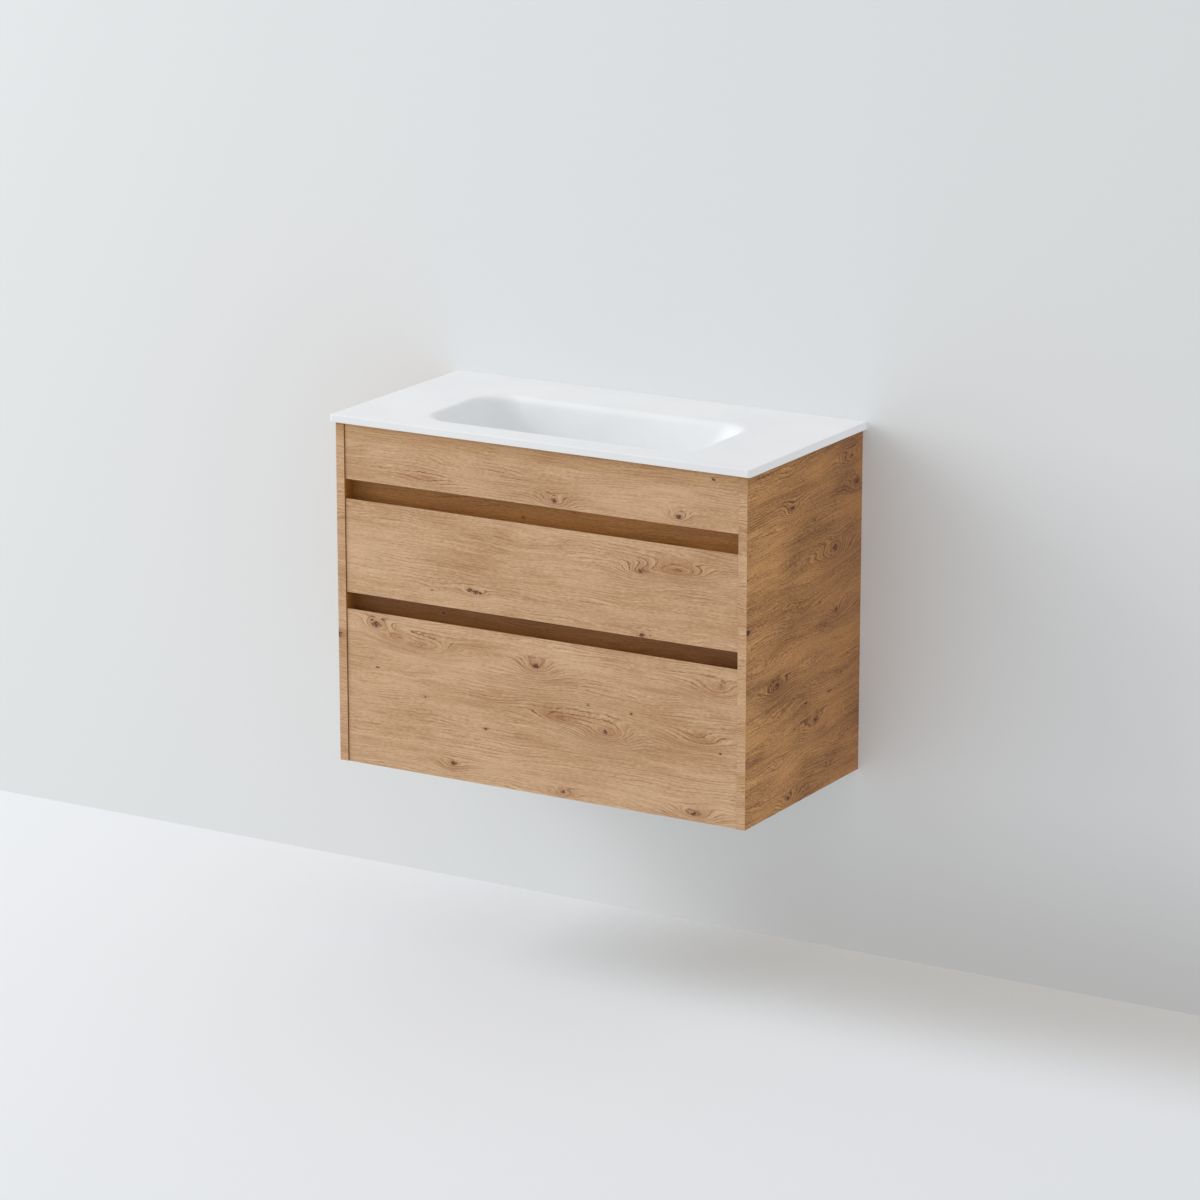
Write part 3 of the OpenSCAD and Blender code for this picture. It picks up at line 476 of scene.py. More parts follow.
def slab_shade(tree, place, color):
    """Dim and warm the first 30 mm below the slab, on all but the side panels' outer faces."""
    below = place["Across"].less_from(slab_low)
    front = place["Outer"].less_from(1.0)
    color = blend(tree, below.rise(31.0, 22.0) * front, color, wide_shade, "MULTIPLY")
    return blend(tree, (below / 6.0).bell() * front, color, near_shade, "MULTIPLY")


print("the slab's underside is", slab_low, "mm above the cabinet's")

# %% [markdown]
# ## A board's own sheet
# Real boards are cut from different places of the decor, so each has its own seed, its own knots, and a
# sheet that may lie a little askew. Three slow noises sway the field before the knots bend it. The knots'
# groups follow each other in a chain, each one bending what the last one left.

# %% Oak boards
def oak_board(name, seed, knots, slant=0.0, ring_show=0.9, swell=22.0, panel=None, **board_tones):
    """Oak for one board; a panel gives three sets of tones, for its edge, its front part and its rear, darker
    as painted shade.
    """
    material, tree, shader = new_material(name, Specular_IOR_Level=0.2 if panel else 0.35)
    place = use_group(tree, board_place, Front=0.0 if panel else 1.0)
    if panel:
        edge, front, rear = panel
        # Painted shade: a panel's tones darken towards the wall, and faces that look into the cabinet take
        # the darker inside tones.
        wall_shade_share = place["Along"].rise(-400.0, 0.0)
        for label, inside in inside_shade_tones.items():
            face = blend(tree, wall_shade_share, front[label], rear[label])
            face = blend(tree, place["Outer"], edge[label], face)
            board_tones[label] = blend(tree, place["Inner"], face, inside)
    lean = math.radians(slant)

    def on_sheet(u, v):
        return u * math.cos(lean) + v * math.sin(lean), v * math.cos(lean) - u * math.sin(lean)

    along, across = on_sheet(place["Along"], place["Across"])
    wave = noise(tree, along / 300.0, across / 85.0, seed, 1.0)
    ripple = noise(tree, along / 70.0, across / 15.0, seed + 1.5, 1.0)
    hill = noise(tree, along / 150.0, across / 34.0, seed + 2.5, 1.0)
    ragged = noise(tree, along / 4.0, across / 2.4, seed + 4.5, 3.0, 0.6)
    field = across + wave.swing(26.0) + ripple.swing(2.2) + hill.swing(swell)
    heart, halo = 0.0, 0.0
    for u, v, size, stretch, knot_swell, heart_size in knots:
        middle_along, middle_across = on_sheet(u, v)
        knot = use_group(
            tree, knot_group, Along=along, Across=across, Ragged=ragged, Field=field, Heart=heart, Halo=halo,
            Middle_Along=middle_along, Middle_Across=middle_across, Size=size, Stretch=stretch,
            Swell=knot_swell, Heart_Size=heart_size,
        )
        field, heart, halo = knot["Field"], knot["Heart"], knot["Halo"]
    grain = use_group(
        tree, oak_grain, Along=along, Across=across, Field=field, Heart=heart, Halo=halo, Seed=seed,
        Ring_Show=ring_show, **board_tones,
    )
    cover(tree, shader, slab_shade(tree, place, grain["Color"]), grain["Gloss"], grain["Height"], 0.12 * MM)
    return material


# %% [markdown]
# ## The fronts
# A knot is written as a joiner would mark it: its place along and across the board in millimetres, then its
# size, its stretch along the grain, a swell that sets how many closed rings there are, and the size of its
# dark heart. A heart of 0.3 mm doesn't show: it is a swirl in the grain without a knot.

# %% Fronts
fascia_knots = [
    (32, 511, 13, 2.4, 12, 3.2), (269, 514, 12, 2.0, 11, 3.2), (334, 584, 4, 2.0, 2, 1.8),
    (-216, 520, 14, 3.4, 4, 0.3),
]
upper_knots = [
    (-133, 337, 10, 2.0, 4, 3.0), (-122, 335, 7, 1.6, 2, 3.4), (-113, 334, 8, 2.0, 3, 2.4),
    (198, 414, 15, 2.6, 12, 2.6), (200, 305, 8, 2.0, 4, 3.2), (262, 422, 16, 3.6, 17, 0.3),
    (-208, 327, 3, 1.5, 0, 1.3),
]
lower_knots = [
    (-322, 252, 13, 2.0, 10, 4.6), (-330, 258, 5, 1.5, 2, 2.0), (-230, 226, 20, 3.4, 22, 1.0),
    (-282, 236, 12, 2.6, 9, 0.3), (-4, 223, 16, 2.2, 13, 3.8), (130, 128, 19, 2.6, 18, 3.2),
    (52, 141, 13, 4.6, 7, 0.3), (-169, 28, 14, 2.0, 5, 3.2), (48, 11, 11, 2.6, 6, 2.8),
    (300, 13, 15, 3.4, 14, 3.4), (-319, 176, 3, 1.4, 0, 1.7), (-103, 98, 4, 1.6, 1, 1.8),
    (97, 170, 3, 1.6, 0, 1.5), (180, 167, 3, 1.6, 0, 1.8), (349, 124, 3, 1.6, 0, 1.6),
    (-224, 137, 4, 2.4, 1, 1.4), (346, 236, 20, 2.4, 13, 0.3), (311, 140, 15, 3.8, 9, 0.3),
]
# Painted shade: the grip rails sit in the recesses and take darker tones in place of the shade there, the
# lower rail the darkest.
recess_shade_tones = tones(Light=(153, 100, 46), Dark=(120, 74, 30), Line=(80, 44, 17))
dress(oak_board("oak_fascia", 3.1, fascia_knots), "top_fascia")
dress(oak_board("oak_upper_front", 17.3, upper_knots), "upper_drawer_front")
dress(oak_board("oak_lower_front", 29.7, lower_knots), "lower_drawer_front")
dress(oak_board("oak_rails", 53.3, [(-43, 469, 4, 2.0, 1, 2.2)], **inside_shade_tones), "upper_grip_rail")
dress(oak_board("oak_low_rail", 59.7, [(-201, 282, 4, 2.0, 1, 2.0)], **recess_shade_tones), "lower_grip_rail")

# %% [markdown]
# ## The side panels
# The right panel turns away from the lamps, and its tones are painted shade: a deeper brown, which grows
# deeper still towards the wall. The left one stands in the light and has lighter tones, with a little painted
# shade towards the wall too. It has the knots of the right one upside down, which saves a second list.

# %% Side panels
side_knots = [
    (-250, 512, 18, 1.8, 9, 4.4), (-96, 413, 22, 2.0, 14, 4.6), (-89, 304, 12, 1.8, 6, 4.0),
    (-296, 221, 18, 1.8, 10, 4.2), (-160, 128, 22, 2.2, 11, 5.0), (-253, 16, 14, 2.4, 8, 3.0),
    (-19, 512, 16, 2.0, 7, 5.4), (-398, 335, 8, 1.6, 3, 4.6), (-193, 166, 4, 2.0, 1, 2.2),
    (-111, 166, 4, 2.0, 1, 2.2), (-40, 560, 14, 2.0, 6, 2.0), (-170, 475, 5, 1.6, 1, 2.2),
]
turned_height = 560
turned_knots = [(u, turned_height - v, *rest) for u, v, *rest in side_knots]
# Lit and shaded copies of one decor, each for the edge, the front part and the rear; the rear tones are
# painted shade towards the wall.
right_shaded_tones = (
    front_tones,
    tones(Light=(209, 156, 97), Dark=(124, 78, 39), Line=(62, 31, 11)),
    tones(Light=(172, 118, 64), Dark=(98, 58, 26), Line=(54, 26, 9)),
)
left_lit_tones = (
    tones(Light=(215, 178, 140), Dark=(180, 137, 96), Line=(118, 78, 44)),
    tones(Light=(213, 175, 134), Dark=(163, 123, 85), Line=(88, 54, 28)),
    tones(Light=(204, 165, 124), Dark=(153, 113, 76), Line=(82, 49, 25)),
)
right_oak = oak_board("oak_right_panel", 41.9, side_knots, 2.5, ring_show=1.0, swell=32.0, panel=right_shaded_tones)
left_oak = oak_board("oak_left_panel", 67.1, turned_knots, -2.5, swell=30.0, panel=left_lit_tones)
dress(right_oak, "right_side_panel")
dress(left_oak, "left_side_panel")

# %% [markdown]
# ## Softened edges
# No cut board has a perfectly sharp edge: the edge band is rounded by about half a millimetre, and that is
# what catches the light. The CAD mesh keeps a separate corner for each face, so a Weld joins them before a
# Bevel rounds them. Modifiers leave the CAD mesh itself as it was. The hidden boards are listed by the axis
# along which they are thin, which their finish needs too.

# %% Edge rounding
hidden_boards = {
    "X": ("upper_box_left", "upper_box_right", "lower_box_left", "lower_box_right"),
    "Y": ("upper_box_subfront", "upper_box_back_left", "upper_box_back_right", "lower_box_subfront",
          "lower_box_back", "front_stretcher", "rear_top_rail", "rear_bottom_rail"),
    "Z": ("bottom_panel", "upper_box_bottom", "lower_box_bottom"),
}


def soften(width, *names):
    """Round the edges of CAD nodes."""
    for name in names:
        weld = nodes[name].modifiers.new("weld", "WELD")
        weld.merge_threshold = 0.02 * MM
        bevel = nodes[name].modifiers.new("soft_edges", "BEVEL")
        bevel.width = width
        bevel.segments = 3
        bevel.limit_method = "ANGLE"
        bevel.angle_limit = math.radians(50)
        bevel.harden_normals = True
    print("softened", len(names), "boards by", round(width / MM, 2), "mm")


soften(0.5 * MM, "top_fascia", "upper_drawer_front", "lower_drawer_front")
soften(0.5 * MM, "left_side_panel", "right_side_panel")
soften(0.4 * MM, *(name for names in hidden_boards.values() for name in names))
soften(0.4 * MM, "upper_grip_rail", "lower_grip_rail", "plumbing_guard")

# %% [markdown]
# ## The washbasin
# The slab and its bowl are one casting. The CAD solid has the right shape in flat facets; the piece here
# follows the same rings much more finely. A ring is a rounded rectangle, and the bowl is a stack of them
# that come in with depth: a round rim, a straight slope, and a round into the floor. A subdivided box would
# give a soft bowl too, but not these exact rounds. All sizes here are in millimetres.

# %% Washbasin rings
slab_half_x, slab_depth, slab_high = 405.0, 410.0, 610.0
corner_points, side_points = 14, 10


def between(start, end, share):
    """The point at a share of the way from start to end."""
    return tuple(a + (b - a) * share for a, b in zip(start, end))


def outline(half_x, half_y, corner, middle_y, z):
    """A rounded rectangle, counter-clockwise from above, always with as many points."""
    def on_corner(quarter, degrees):
        sx, sy = ((1, 1), (-1, 1), (-1, -1), (1, -1))[quarter % 4]
        x = sx * (half_x - corner) + corner * math.cos(math.radians(degrees))
        y = middle_y + sy * (half_y - corner) + corner * math.sin(math.radians(degrees))
        return x, y, z

    ring = []
    for quarter in range(4):
        ring += [on_corner(quarter, 90 * quarter + 90 * k / corner_points) for k in range(corner_points + 1)]
        start, end = ring[-1], on_corner(quarter + 1, 90 * (quarter + 1))
        ring += [between(start, end, k / side_points) for k in range(1, side_points)]
    return ring


print("each ring has", len(outline(slab_half_x, slab_depth / 2, 5, 0, 0)), "points")

# %% [markdown]
# One function says how far the bowl's wall has come in at a depth, and all its rings follow from that. The
# ends slope more than the long sides, and the corners grow a little rounder with depth. Round the waste the
# rings become circles.

# %% Bowl section
bowl_middle_y, bowl_half_x, bowl_half_y, bowl_deep = -242.0, 265.0, 119.0, 102.0
bowl_corner, corner_growth, rim_round = 56, 0.1, 13.0
end_slope, long_slope = 30.0, 10.0
end_floor_round, long_floor_round = 60, 42


def come_in(depth, slope, floor_round):
    """How far a bowl wall has come in at a depth."""
    lean = math.radians(slope)
    rim_end = rim_round * (1 - math.sin(lean))
    floor_start = bowl_deep - floor_round * (1 - math.sin(lean))
    at_rim = rim_round * math.cos(lean)
    at_floor = at_rim + (floor_start - rim_end) * math.tan(lean)
    if depth < rim_end:
        return math.sqrt(max(0.0, 2 * rim_round * depth - depth * depth))
    if depth < floor_start:
        return at_rim + (depth - rim_end) * math.tan(lean)
    up = max(0.0, bowl_deep - depth)
    return at_floor + floor_round * math.cos(lean) - math.sqrt(max(0.0, 2 * floor_round * up - up * up))


def bowl_ring(depth, grow_x=0.0, grow_y=0.0, lower=0.0):
    """The bowl's ring at a depth, or the shell's, which is larger and lies lower."""
    half_x = bowl_half_x - come_in(depth, end_slope, end_floor_round)
    half_y = bowl_half_y - come_in(depth, long_slope, long_floor_round)
    corner = min(bowl_corner + corner_growth * depth, half_y - 1)
    height = slab_high - depth - lower
    return outline(half_x + grow_x, half_y + grow_y, corner + grow_y, bowl_middle_y, height)


def round_ring(radius, z):
    """A circle whose points lie in the same directions as a small oval's."""
    ring = []
    for x, y, _ in outline(33, 33, 32, 0, z):
        share = radius / math.hypot(x, y)
        ring.append((share * x, bowl_middle_y + share * y, z))
    return ring


print("the bowl's ends come in by", round(come_in(bowl_deep, end_slope, end_floor_round), 1), "mm")

# %% [markdown]
# A skin is made by joining each ring to the next with four-sided faces, which is called a loft. The slab's
# rings come first: up its edge, with a small round below and a larger one above. Its rear edge stays against
# the wall.

# %% Slab rings
slab_corner, top_round, low_round, low_flat, deck_band = 5, 2.0, 1, 1.2, 6


def loft(rings, closed=False):
    """The points of rings, and the faces from each ring to the next; a closed loft ends at its first ring."""
    count = len(rings[0])
    faces = []
    for i in range(len(rings) - (not closed)):
        below, above = i * count, (i + 1) % len(rings) * count
        for j in range(count):
            k = (j + 1) % count
            faces.append((below + j, below + k, above + k, above + j))
    return [p for ring in rings for p in ring], faces


def slab_ring(off, z):
    """The slab's outline with its front and ends come in; the rear edge stays against the wall."""
    return outline(slab_half_x - off, (slab_depth - off) / 2, slab_corner - off, -(slab_depth - off) / 2, z)


slab_rings = [slab_ring(low_flat, slab_low)]
for turn in (math.radians(90 * k / 4) for k in range(5)):
    off, up = low_round * (1 - math.sin(turn)), low_round * (1 - math.cos(turn))
    slab_rings.append(slab_ring(off, slab_low + up))
for turn in (math.radians(90 * k / 6) for k in range(7)):
    off, down = top_round * (1 - math.cos(turn)), top_round * (1 - math.sin(turn))
    slab_rings.append(slab_ring(off, slab_high - down))
slab_rings.append(
    outline(slab_half_x - deck_band, slab_depth / 2 - deck_band, deck_band, -slab_depth / 2, slab_high)
)
print(len(slab_rings), "rings round the slab, with", len(loft(slab_rings)[1]), "faces")

# %% [markdown]
# The rings are joined into one closed skin: up the slab's rounded edge, across the deck, down into the bowl,
# out through the waste hole, and back along the underside of the shell. A Weighted Normal keeps the wide
# deck flat to the eye while the rim beside it turns smoothly.

# %% Washbasin mesh
shell_thick, shell_low, floor_low = 9, 496.0, 505.0
drain_half_x, drain_half_y, drain_corner, drain_deep = 58.5, 37.5, 36.5, 0.4
seat_steps = ((33.5, 0), (32.2, 0.3), (32, 2.7), (24, 2.7), (23, 3.6))
hole_radius, collar_radius = 23, 40


def add_mesh(name, points, faces):
    """A smooth mesh object; its points are in metres."""
    mesh = bpy.data.meshes.new(name)
    mesh.from_pydata(points, [], faces)
    mesh.polygons.foreach_set("use_smooth", [True] * len(mesh.polygons))
    print(name, len(mesh.polygons), "faces")
    return add_object(name, mesh)


rim_depths = [rim_round * (1 - math.cos(math.radians(a))) for a in range(0, 91, 9)]
wall_depths = [rim_round + 5 * k for k in range(1, 8)]
floor_depths = [bowl_deep - long_floor_round * (1 - math.cos(math.radians(a))) for a in range(78, -1, -6)]
inner = [bowl_ring(0, deck_band, deck_band)] + [bowl_ring(d) for d in rim_depths + wall_depths + floor_depths]
floor_end = inner[-1]
drain_edge = outline(drain_half_x, drain_half_y, drain_corner, bowl_middle_y, floor_low + drain_deep)
inner += [[between(p, q, k / 4) for p, q in zip(floor_end, drain_edge)] for k in range(1, 5)]
inner += [round_ring(radius, floor_low - down) for radius, down in seat_steps]
outer_x, outer_y = (shell_thick / math.cos(math.radians(slope)) for slope in (end_slope, long_slope))
outer = [round_ring(hole_radius, shell_low), round_ring(collar_radius, shell_low)]
for depth in reversed(wall_depths + floor_depths):
    outer.append(bowl_ring(depth, outer_x, outer_y, shell_thick * depth / bowl_deep))
outer.append(bowl_ring(rim_round, outer_x, outer_y))
basin_points, basin_faces = loft(slab_rings + inner + outer, closed=True)
basin = add_mesh("washbasin_casting", [[c * MM for c in p] for p in basin_points], basin_faces)
basin.modifiers.new("flat_faces", "WEIGHTED_NORMAL").keep_sharp = False
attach(basin, "cabinet")
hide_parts("washbasin")

# %% [markdown]
# The casting is mineral filler in resin, satin and nearly neutral white. Its colour hardly varies, so its
# life is in the gloss: faint clouding, and a very fine grain that breaks up reflections. A flat white would
# look like paper.

# %% Washbasin material
mineral, tree, shader = new_material("cast_mineral", Specular_IOR_Level=0.2, IOR=1.5)
place = place_of_point(tree)
cloud = noise(tree, *(c * 9.0 for c in place), 3.0)
speck = noise(tree, *(c * 900.0 for c in place), 2.0)
tint = blend(tree, cloud.rise(0.3, 0.7), linear(237, 239, 241), linear(241, 243, 244))
tint = blend(tree, speck.rise(0.62, 0.75) * 0.06, tint, linear(205, 207, 210))
cover(tree, shader, tint, cloud * 0.1 + speck * 0.06 + 0.5, speck + cloud * 0.5, 0.02 * MM)
basin.data.materials.append(mineral)
print("washbasin in", mineral.name)

# %% [markdown]
# ## Linen board
# Drawer boxes and hidden cabinet parts are chipboard faced with printed paper. Its usual pattern is linen:
# threads of slightly different greys that cross each other. Two noises, each drawn out along one direction,
# make the threads, which is cheaper than a weave in the mesh.

# %% Linen group
thread_width = 0.8


def make_linen_group():
    tree, given, give = new_group(
        "Linen",
        {"Along": 0.0, "Across": 0.0, **tones(Light=(206, 202, 195), Dark=(172, 168, 161))},
        ("Color", "Height"),
    )
    u, v = given["Along"] / thread_width, given["Across"] / thread_width
    warp = noise(tree, u / 26.0, v, 1.5, 1.0)
    weft = noise(tree, u, v / 26.0, 7.5, 1.0)
    slub = noise(tree, u / 60.0, v / 3.0, 3.5, 1.0).rise(0.6, 0.75)
    cloud = noise(tree, given["Along"] / 90.0, given["Across"] / 90.0, 5.5, 2.0)
    tone = (warp + weft - 1.0) * 1.5 + cloud.swing(0.3) + slub * 0.12 + 0.5
    color = blend(tree, tone.rise(0.0, 1.0), given["Dark"], given["Light"])
    return give(Color=color, Height=(warp + weft) * 0.5)


linen_group = make_linen_group()

# %% [markdown]
# The edges of these boards carry a plain band instead, so a finish has to know along which axis its boards
# are thin.

# %% Linen boards
def linen_board(name, thin):
    """A linen finish for boards that are thin along an axis."""
    material, tree, shader = new_material(name, Specular_IOR_Level=0.35)
    place = use_group(tree, place_group)
    first, second = [axis for axis in "YXZ" if axis != thin]
    linen = use_group(tree, linen_group, Along=place[first], Across=place[second])
    edge = place["Facing " + thin].rise(0.7, 0.5)
    fleck = noise(tree, place["X"] / 2.0, place["Y"] / 2.0, place["Z"] / 2.0, 3.0)
    band = blend(tree, fleck, linear(186, 182, 175), linear(202, 198, 191))
    color = blend(tree, edge, linen["Color"], band)
    gloss = linen["Height"] * 0.14 + edge * -0.08 + 0.46
    cover(tree, shader, color, gloss, linen["Height"] + fleck * 0.3, 0.06 * MM)
    return material


for finish, thin in (("linen_sides", "X"), ("linen_uprights", "Y"), ("linen_bottoms", "Z")):
    dress(linen_board(finish, thin), *hidden_boards[thin])

# %% [markdown]
# ## Zinc-plated steel
# Runners and brackets are rolled from strip and plated. The rolls leave fine lines along the strip, the zinc
# leaves faint clouds with soft borders, and use leaves dull smears of grease. All of this is very weak in
# colour and shows mostly in the gloss, because a metal's look is what it mirrors.

# %% Metal group
def make_metal_group():
    tree, given, give = new_group(
        "Rolled metal",
        {"Along": 0.0, "Across": 0.0, "Side": 0.0, "Gloss": 0.34,
         **tones(Light=(204, 204, 204), Dark=(178, 178, 179))},
        ("Color", "Gloss", "Height"),
    )
    along, across, side = given["Along"], given["Across"], given["Side"]
    rolled = noise(tree, along / 60.0, across / 0.35, side / 0.35, 3.0, 0.6)
    cloud = noise(tree, along / 14.0, across / 9.0, side / 9.0, 2.0)
    smear = noise(tree, along / 45.0, across / 12.0, side / 12.0 + 9.0, 3.0, 0.6).rise(0.52, 0.72)
    tone = rolled.swing(0.9) + cloud.swing(0.9) - smear * 0.25 + 0.55
    return give(
        Color=blend(tree, tone.rise(0.0, 1.0), given["Dark"], given["Light"]),
        Gloss=given["Gloss"] + rolled.swing(0.14) + cloud.swing(0.1) + smear * 0.12,
        Height=rolled,
    )


metal_group = make_metal_group()

# %% [markdown]
# The lines run along each part as it was rolled, so a finish is told its axis. The five metals differ only
# in tone and gloss: the cages shine most, and cast zinc is the dullest and darkest.

# %% Zinc steel
def patterned(name, group, along, depth, constants, **values):
    """A material from a group whose lines run along an axis."""
    material, tree, shader = new_material(name, **constants)
    place = use_group(tree, place_group)
    across, side = [axis for axis in "XYZ" if axis != along]
    made = use_group(tree, group, Along=place[along], Across=place[across], Side=place[side], **values)
    cover(tree, shader, made["Color"], made["Gloss"], made["Height"], depth)
    return material


def plated(name, along, **values):
    return patterned(name, metal_group, along, 0.01 * MM, {"Metallic": 1.0}, **values)


runner_steel = plated("zinc_runners", "Y")
bracket_steel = plated("zinc_brackets", "X", Gloss=0.4, **tones(Light=(199, 199, 198), Dark=(168, 168, 168)))
cam_zinc = plated("cast_zinc", "Z", Gloss=0.46, **tones(Light=(178, 178, 178), Dark=(142, 142, 143)))
screw_steel = plated("zinc_screws", "X", Gloss=0.3, **tones(Light=(209, 208, 206), Dark=(180, 180, 178)))
cage_steel = plated("cage_steel", "Y", Gloss=0.26, **tones(Light=(187, 187, 188), Dark=(153, 153, 154)))
for level in ("upper", "lower"):
    for member in ("outer", "middle", "inner"):
        dress(runner_steel, f"{level}_{member}_runner_left", f"{level}_{member}_runner_right")
    dress(cage_steel, f"{level}_outer_ball_cages", f"{level}_inner_ball_cages")
dress(bracket_steel, "hanger_left", "hanger_right", "wall_plate_left", "wall_plate_right")
dress(cam_zinc, "cam_locks", "waste_nut")
dress(screw_steel, "cam_bolts")

# %% [markdown]
# ## Chrome
# Chrome is a mirror. What tells it from a picture of a mirror is the film of water marks and the hair-fine
# scratches, so its gloss is uneven and its colour is a touch uneven too. They need no relief, because real
# ones are too shallow to bend a reflection.

# %% Chrome
chrome, tree, shader = new_material("polished_chrome", Metallic=1.0)
place = use_group(tree, place_group)
film = noise(tree, place["X"] / 11.0, place["Y"] / 11.0, place["Z"] / 11.0, 2.0).rise(0.4, 0.7)
scratch = noise(tree, place["X"] / 0.2, place["Y"] / 12.0, place["Z"] / 12.0, 1.0).rise(0.66, 0.74)
tint = blend(tree, film, linear(228, 229, 230), linear(222, 222, 222))
cover(tree, shader, tint, film * 0.04 + scratch * 0.03 + 0.06)
dress(chrome, "waste_flange")

# %% [markdown]
# ## Moulded plastic and rubber
# The trap is white polypropylene, which lets a little light in and never shines evenly. The guard round the
# plumbing is dark with a sparked grain, and the seal is rubber with a dusty bloom. They differ only in tone
# and grain, so one group serves all three.

# %% Plastic and rubber
def make_moulding_group():
    tree, given, give = new_group(
        "Moulding",
        {"Along": 0.0, "Across": 0.0, "Side": 0.0, "Grain": 0.5, "Gloss": 0.35,
         **tones(Light=(236, 236, 233), Dark=(222, 222, 218))},
        ("Color", "Gloss", "Height"),
    )
    x, y, z = given["Along"], given["Across"], given["Side"]
    flow = noise(tree, x / 22.0, y / 22.0, z / 34.0, 3.0)
    grain = noise(tree, x / given["Grain"], y / given["Grain"], z / given["Grain"], 2.0)
    dust = noise(tree, x / 6.0, y / 6.0, z / 6.0 + 4.0, 4.0, 0.65).rise(0.55, 0.75)
    tone = flow.swing(1.4) + grain.swing(0.5) - dust * 0.25 + 0.6
    return give(
        Color=blend(tree, tone.rise(0.0, 1.0), given["Dark"], given["Light"]),
        Gloss=given["Gloss"] + flow.swing(0.14) + dust * 0.14,
        Height=grain + flow * 0.2,
    )


moulding_group = make_moulding_group()


def moulded(name, depth, constants, **values):
    return patterned(name, moulding_group, "X", depth, constants, **values)


guard_values = {"Grain": 0.8, "Gloss": 0.5, **tones(Light=(92, 94, 98), Dark=(70, 72, 76))}
seal_values = {"Grain": 0.9, "Gloss": 0.72, **tones(Light=(66, 66, 68), Dark=(44, 44, 46))}
glow = {"Subsurface_Weight": 0.08, "Subsurface_Scale": 4 * MM}
white_plastic = moulded("white_polypropylene", 0.02 * MM, glow)
dress(white_plastic, "trap_tube", "trap_nuts", "trap_body", "trap_cup", "outlet_pipe")
dress(moulded("grained_guard", 0.08 * MM, {}, **guard_values), "plumbing_guard")
dress(moulded("seal_rubber", 0.04 * MM, {"Specular_IOR_Level": 0.3}, **seal_values), "waste_seal")

# %% [markdown]
# ## Beech
# Dowels are turned from beech. Its short dark rays lie along the grain, over years that are barely to be
# seen, so two noises drawn out along the dowel are enough.

# %% Beech
beech, tree, shader = new_material("beech_dowels", Specular_IOR_Level=0.3)
place = use_group(tree, place_group)
ray = noise(tree, place["X"] / 5.0, place["Y"] / 0.4, place["Z"] / 0.4, 2.0)
year = noise(tree, place["X"] / 40.0, place["Y"] / 1.6, place["Z"] / 1.6, 1.0)
tone = ray.swing(0.9) + year.swing(0.8) + 0.5
tint = blend(tree, tone.rise(0.0, 1.0), linear(186, 142, 98), linear(221, 182, 138))
cover(tree, shader, tint, ray * 0.15 + 0.52, ray, 0.05 * MM)
print("node groups", sorted(group.name for group in bpy.data.node_groups))

# %% [markdown]
# ## Screws and dowels
# The CAD screws are plain pins with a cone for a head, and the dowels are plain rods. Here each one is
# measured from its CAD solid: the longest side of its box is its axis, and the thicker end is its head. A
# finer one is then built in its place. First come the helpers that take a node apart into its solids.

# %% Pins of a node
def solids_of(name):
    """The separate solids of a CAD node, each as its corner points."""
    mesh = bmesh.new()
    mesh.from_mesh(nodes[name].data)
    bmesh.ops.remove_doubles(mesh, verts=mesh.verts, dist=0.001 * MM)
    waiting = set(mesh.verts)
    solids = []
    while waiting:
        reached = [waiting.pop()]
        solid = []
        while reached:
            corner = reached.pop()
            solid.append(corner.co.copy())
            for edge in corner.link_edges:
                other = edge.other_vert(corner)
                if other in waiting:
                    waiting.remove(other)
                    reached.append(other)
        solids.append(solid)
    mesh.free()
    return sorted(solids, key=lambda s: [round(sum(p[k] for p in s) / len(s), 5) for k in range(3)])


def pin_of(points):
    """A pin's start, its direction, its length and its widest radius; it starts at its thicker end."""
    low = Vector([min(p[k] for p in points) for k in range(3)])
    high = Vector([max(p[k] for p in points) for k in range(3)])
    axis = max(range(3), key=lambda k: high[k] - low[k])
    middle = (low + high) / 2
    girths = []
    for end in (low, high):
        near = [p - middle for p in points if abs(p[axis] - end[axis]) < 0.3 * MM]
        girths.append(max(math.sqrt(p.length_squared - p[axis] ** 2) for p in near))
    head, tip = (low, high) if girths[0] >= girths[1] else (high, low)
    start, way = middle.copy(), Vector((0, 0, 0))
    start[axis] = head[axis]
    way[axis] = math.copysign(1, tip[axis] - head[axis])
    return start, way, high[axis] - low[axis], max(girths)


print("the cabinet and its fittings have", len(solids_of("cabinet_screws")), "screws")

# %% [markdown]
# A wood screw has a countersunk head with a cross recess, a thin core and a sharp thread that winds round
# it. Two outlines are enough for all of these: a ring whose points may each have their own radius, and a
# cross.

# %% Screw outlines
screw_sides = 16
screw_core, screw_crest, screw_pitch, head_deep = 1.15, 1.75, 1.5, 1.9
thread_start, tip_length = head_deep + 0.4, 2.6
cross_reach, cross_half, floor_reach, floor_half, cross_deep = 0.55, 0.15, 0.34, 0.1, 0.8


def ring_of(z, radii):
    """Points round Z at a height, with a radius for each."""
    turns = [2 * math.pi * k / len(radii) for k in range(len(radii))]
    return [(radius * math.cos(t), radius * math.sin(t), z) for radius, t in zip(radii, turns)]


def cross_outline(reach, half, z):
    """A cross from its reach and the half width of its arms."""
    corner = [(reach, -half), (reach, half), (half, half)]
    quarters = ((1, 0), (0, 1), (-1, 0), (0, -1))
    return [(x * c - y * s, x * s + y * c, z) for c, s in quarters for x, y in corner]


print("the recess has", len(cross_outline(cross_reach, cross_half, 0)), "corners")

# %% [markdown]
# The thread is a radius that depends on both the height and the turn, so one grid of points makes core and
# thread together. The recess is a smaller cross under a larger one, and the flat ring round it is filled in
# triangles. A screw modifier could wind the thread too, but wouldn't let it fade into the tip.

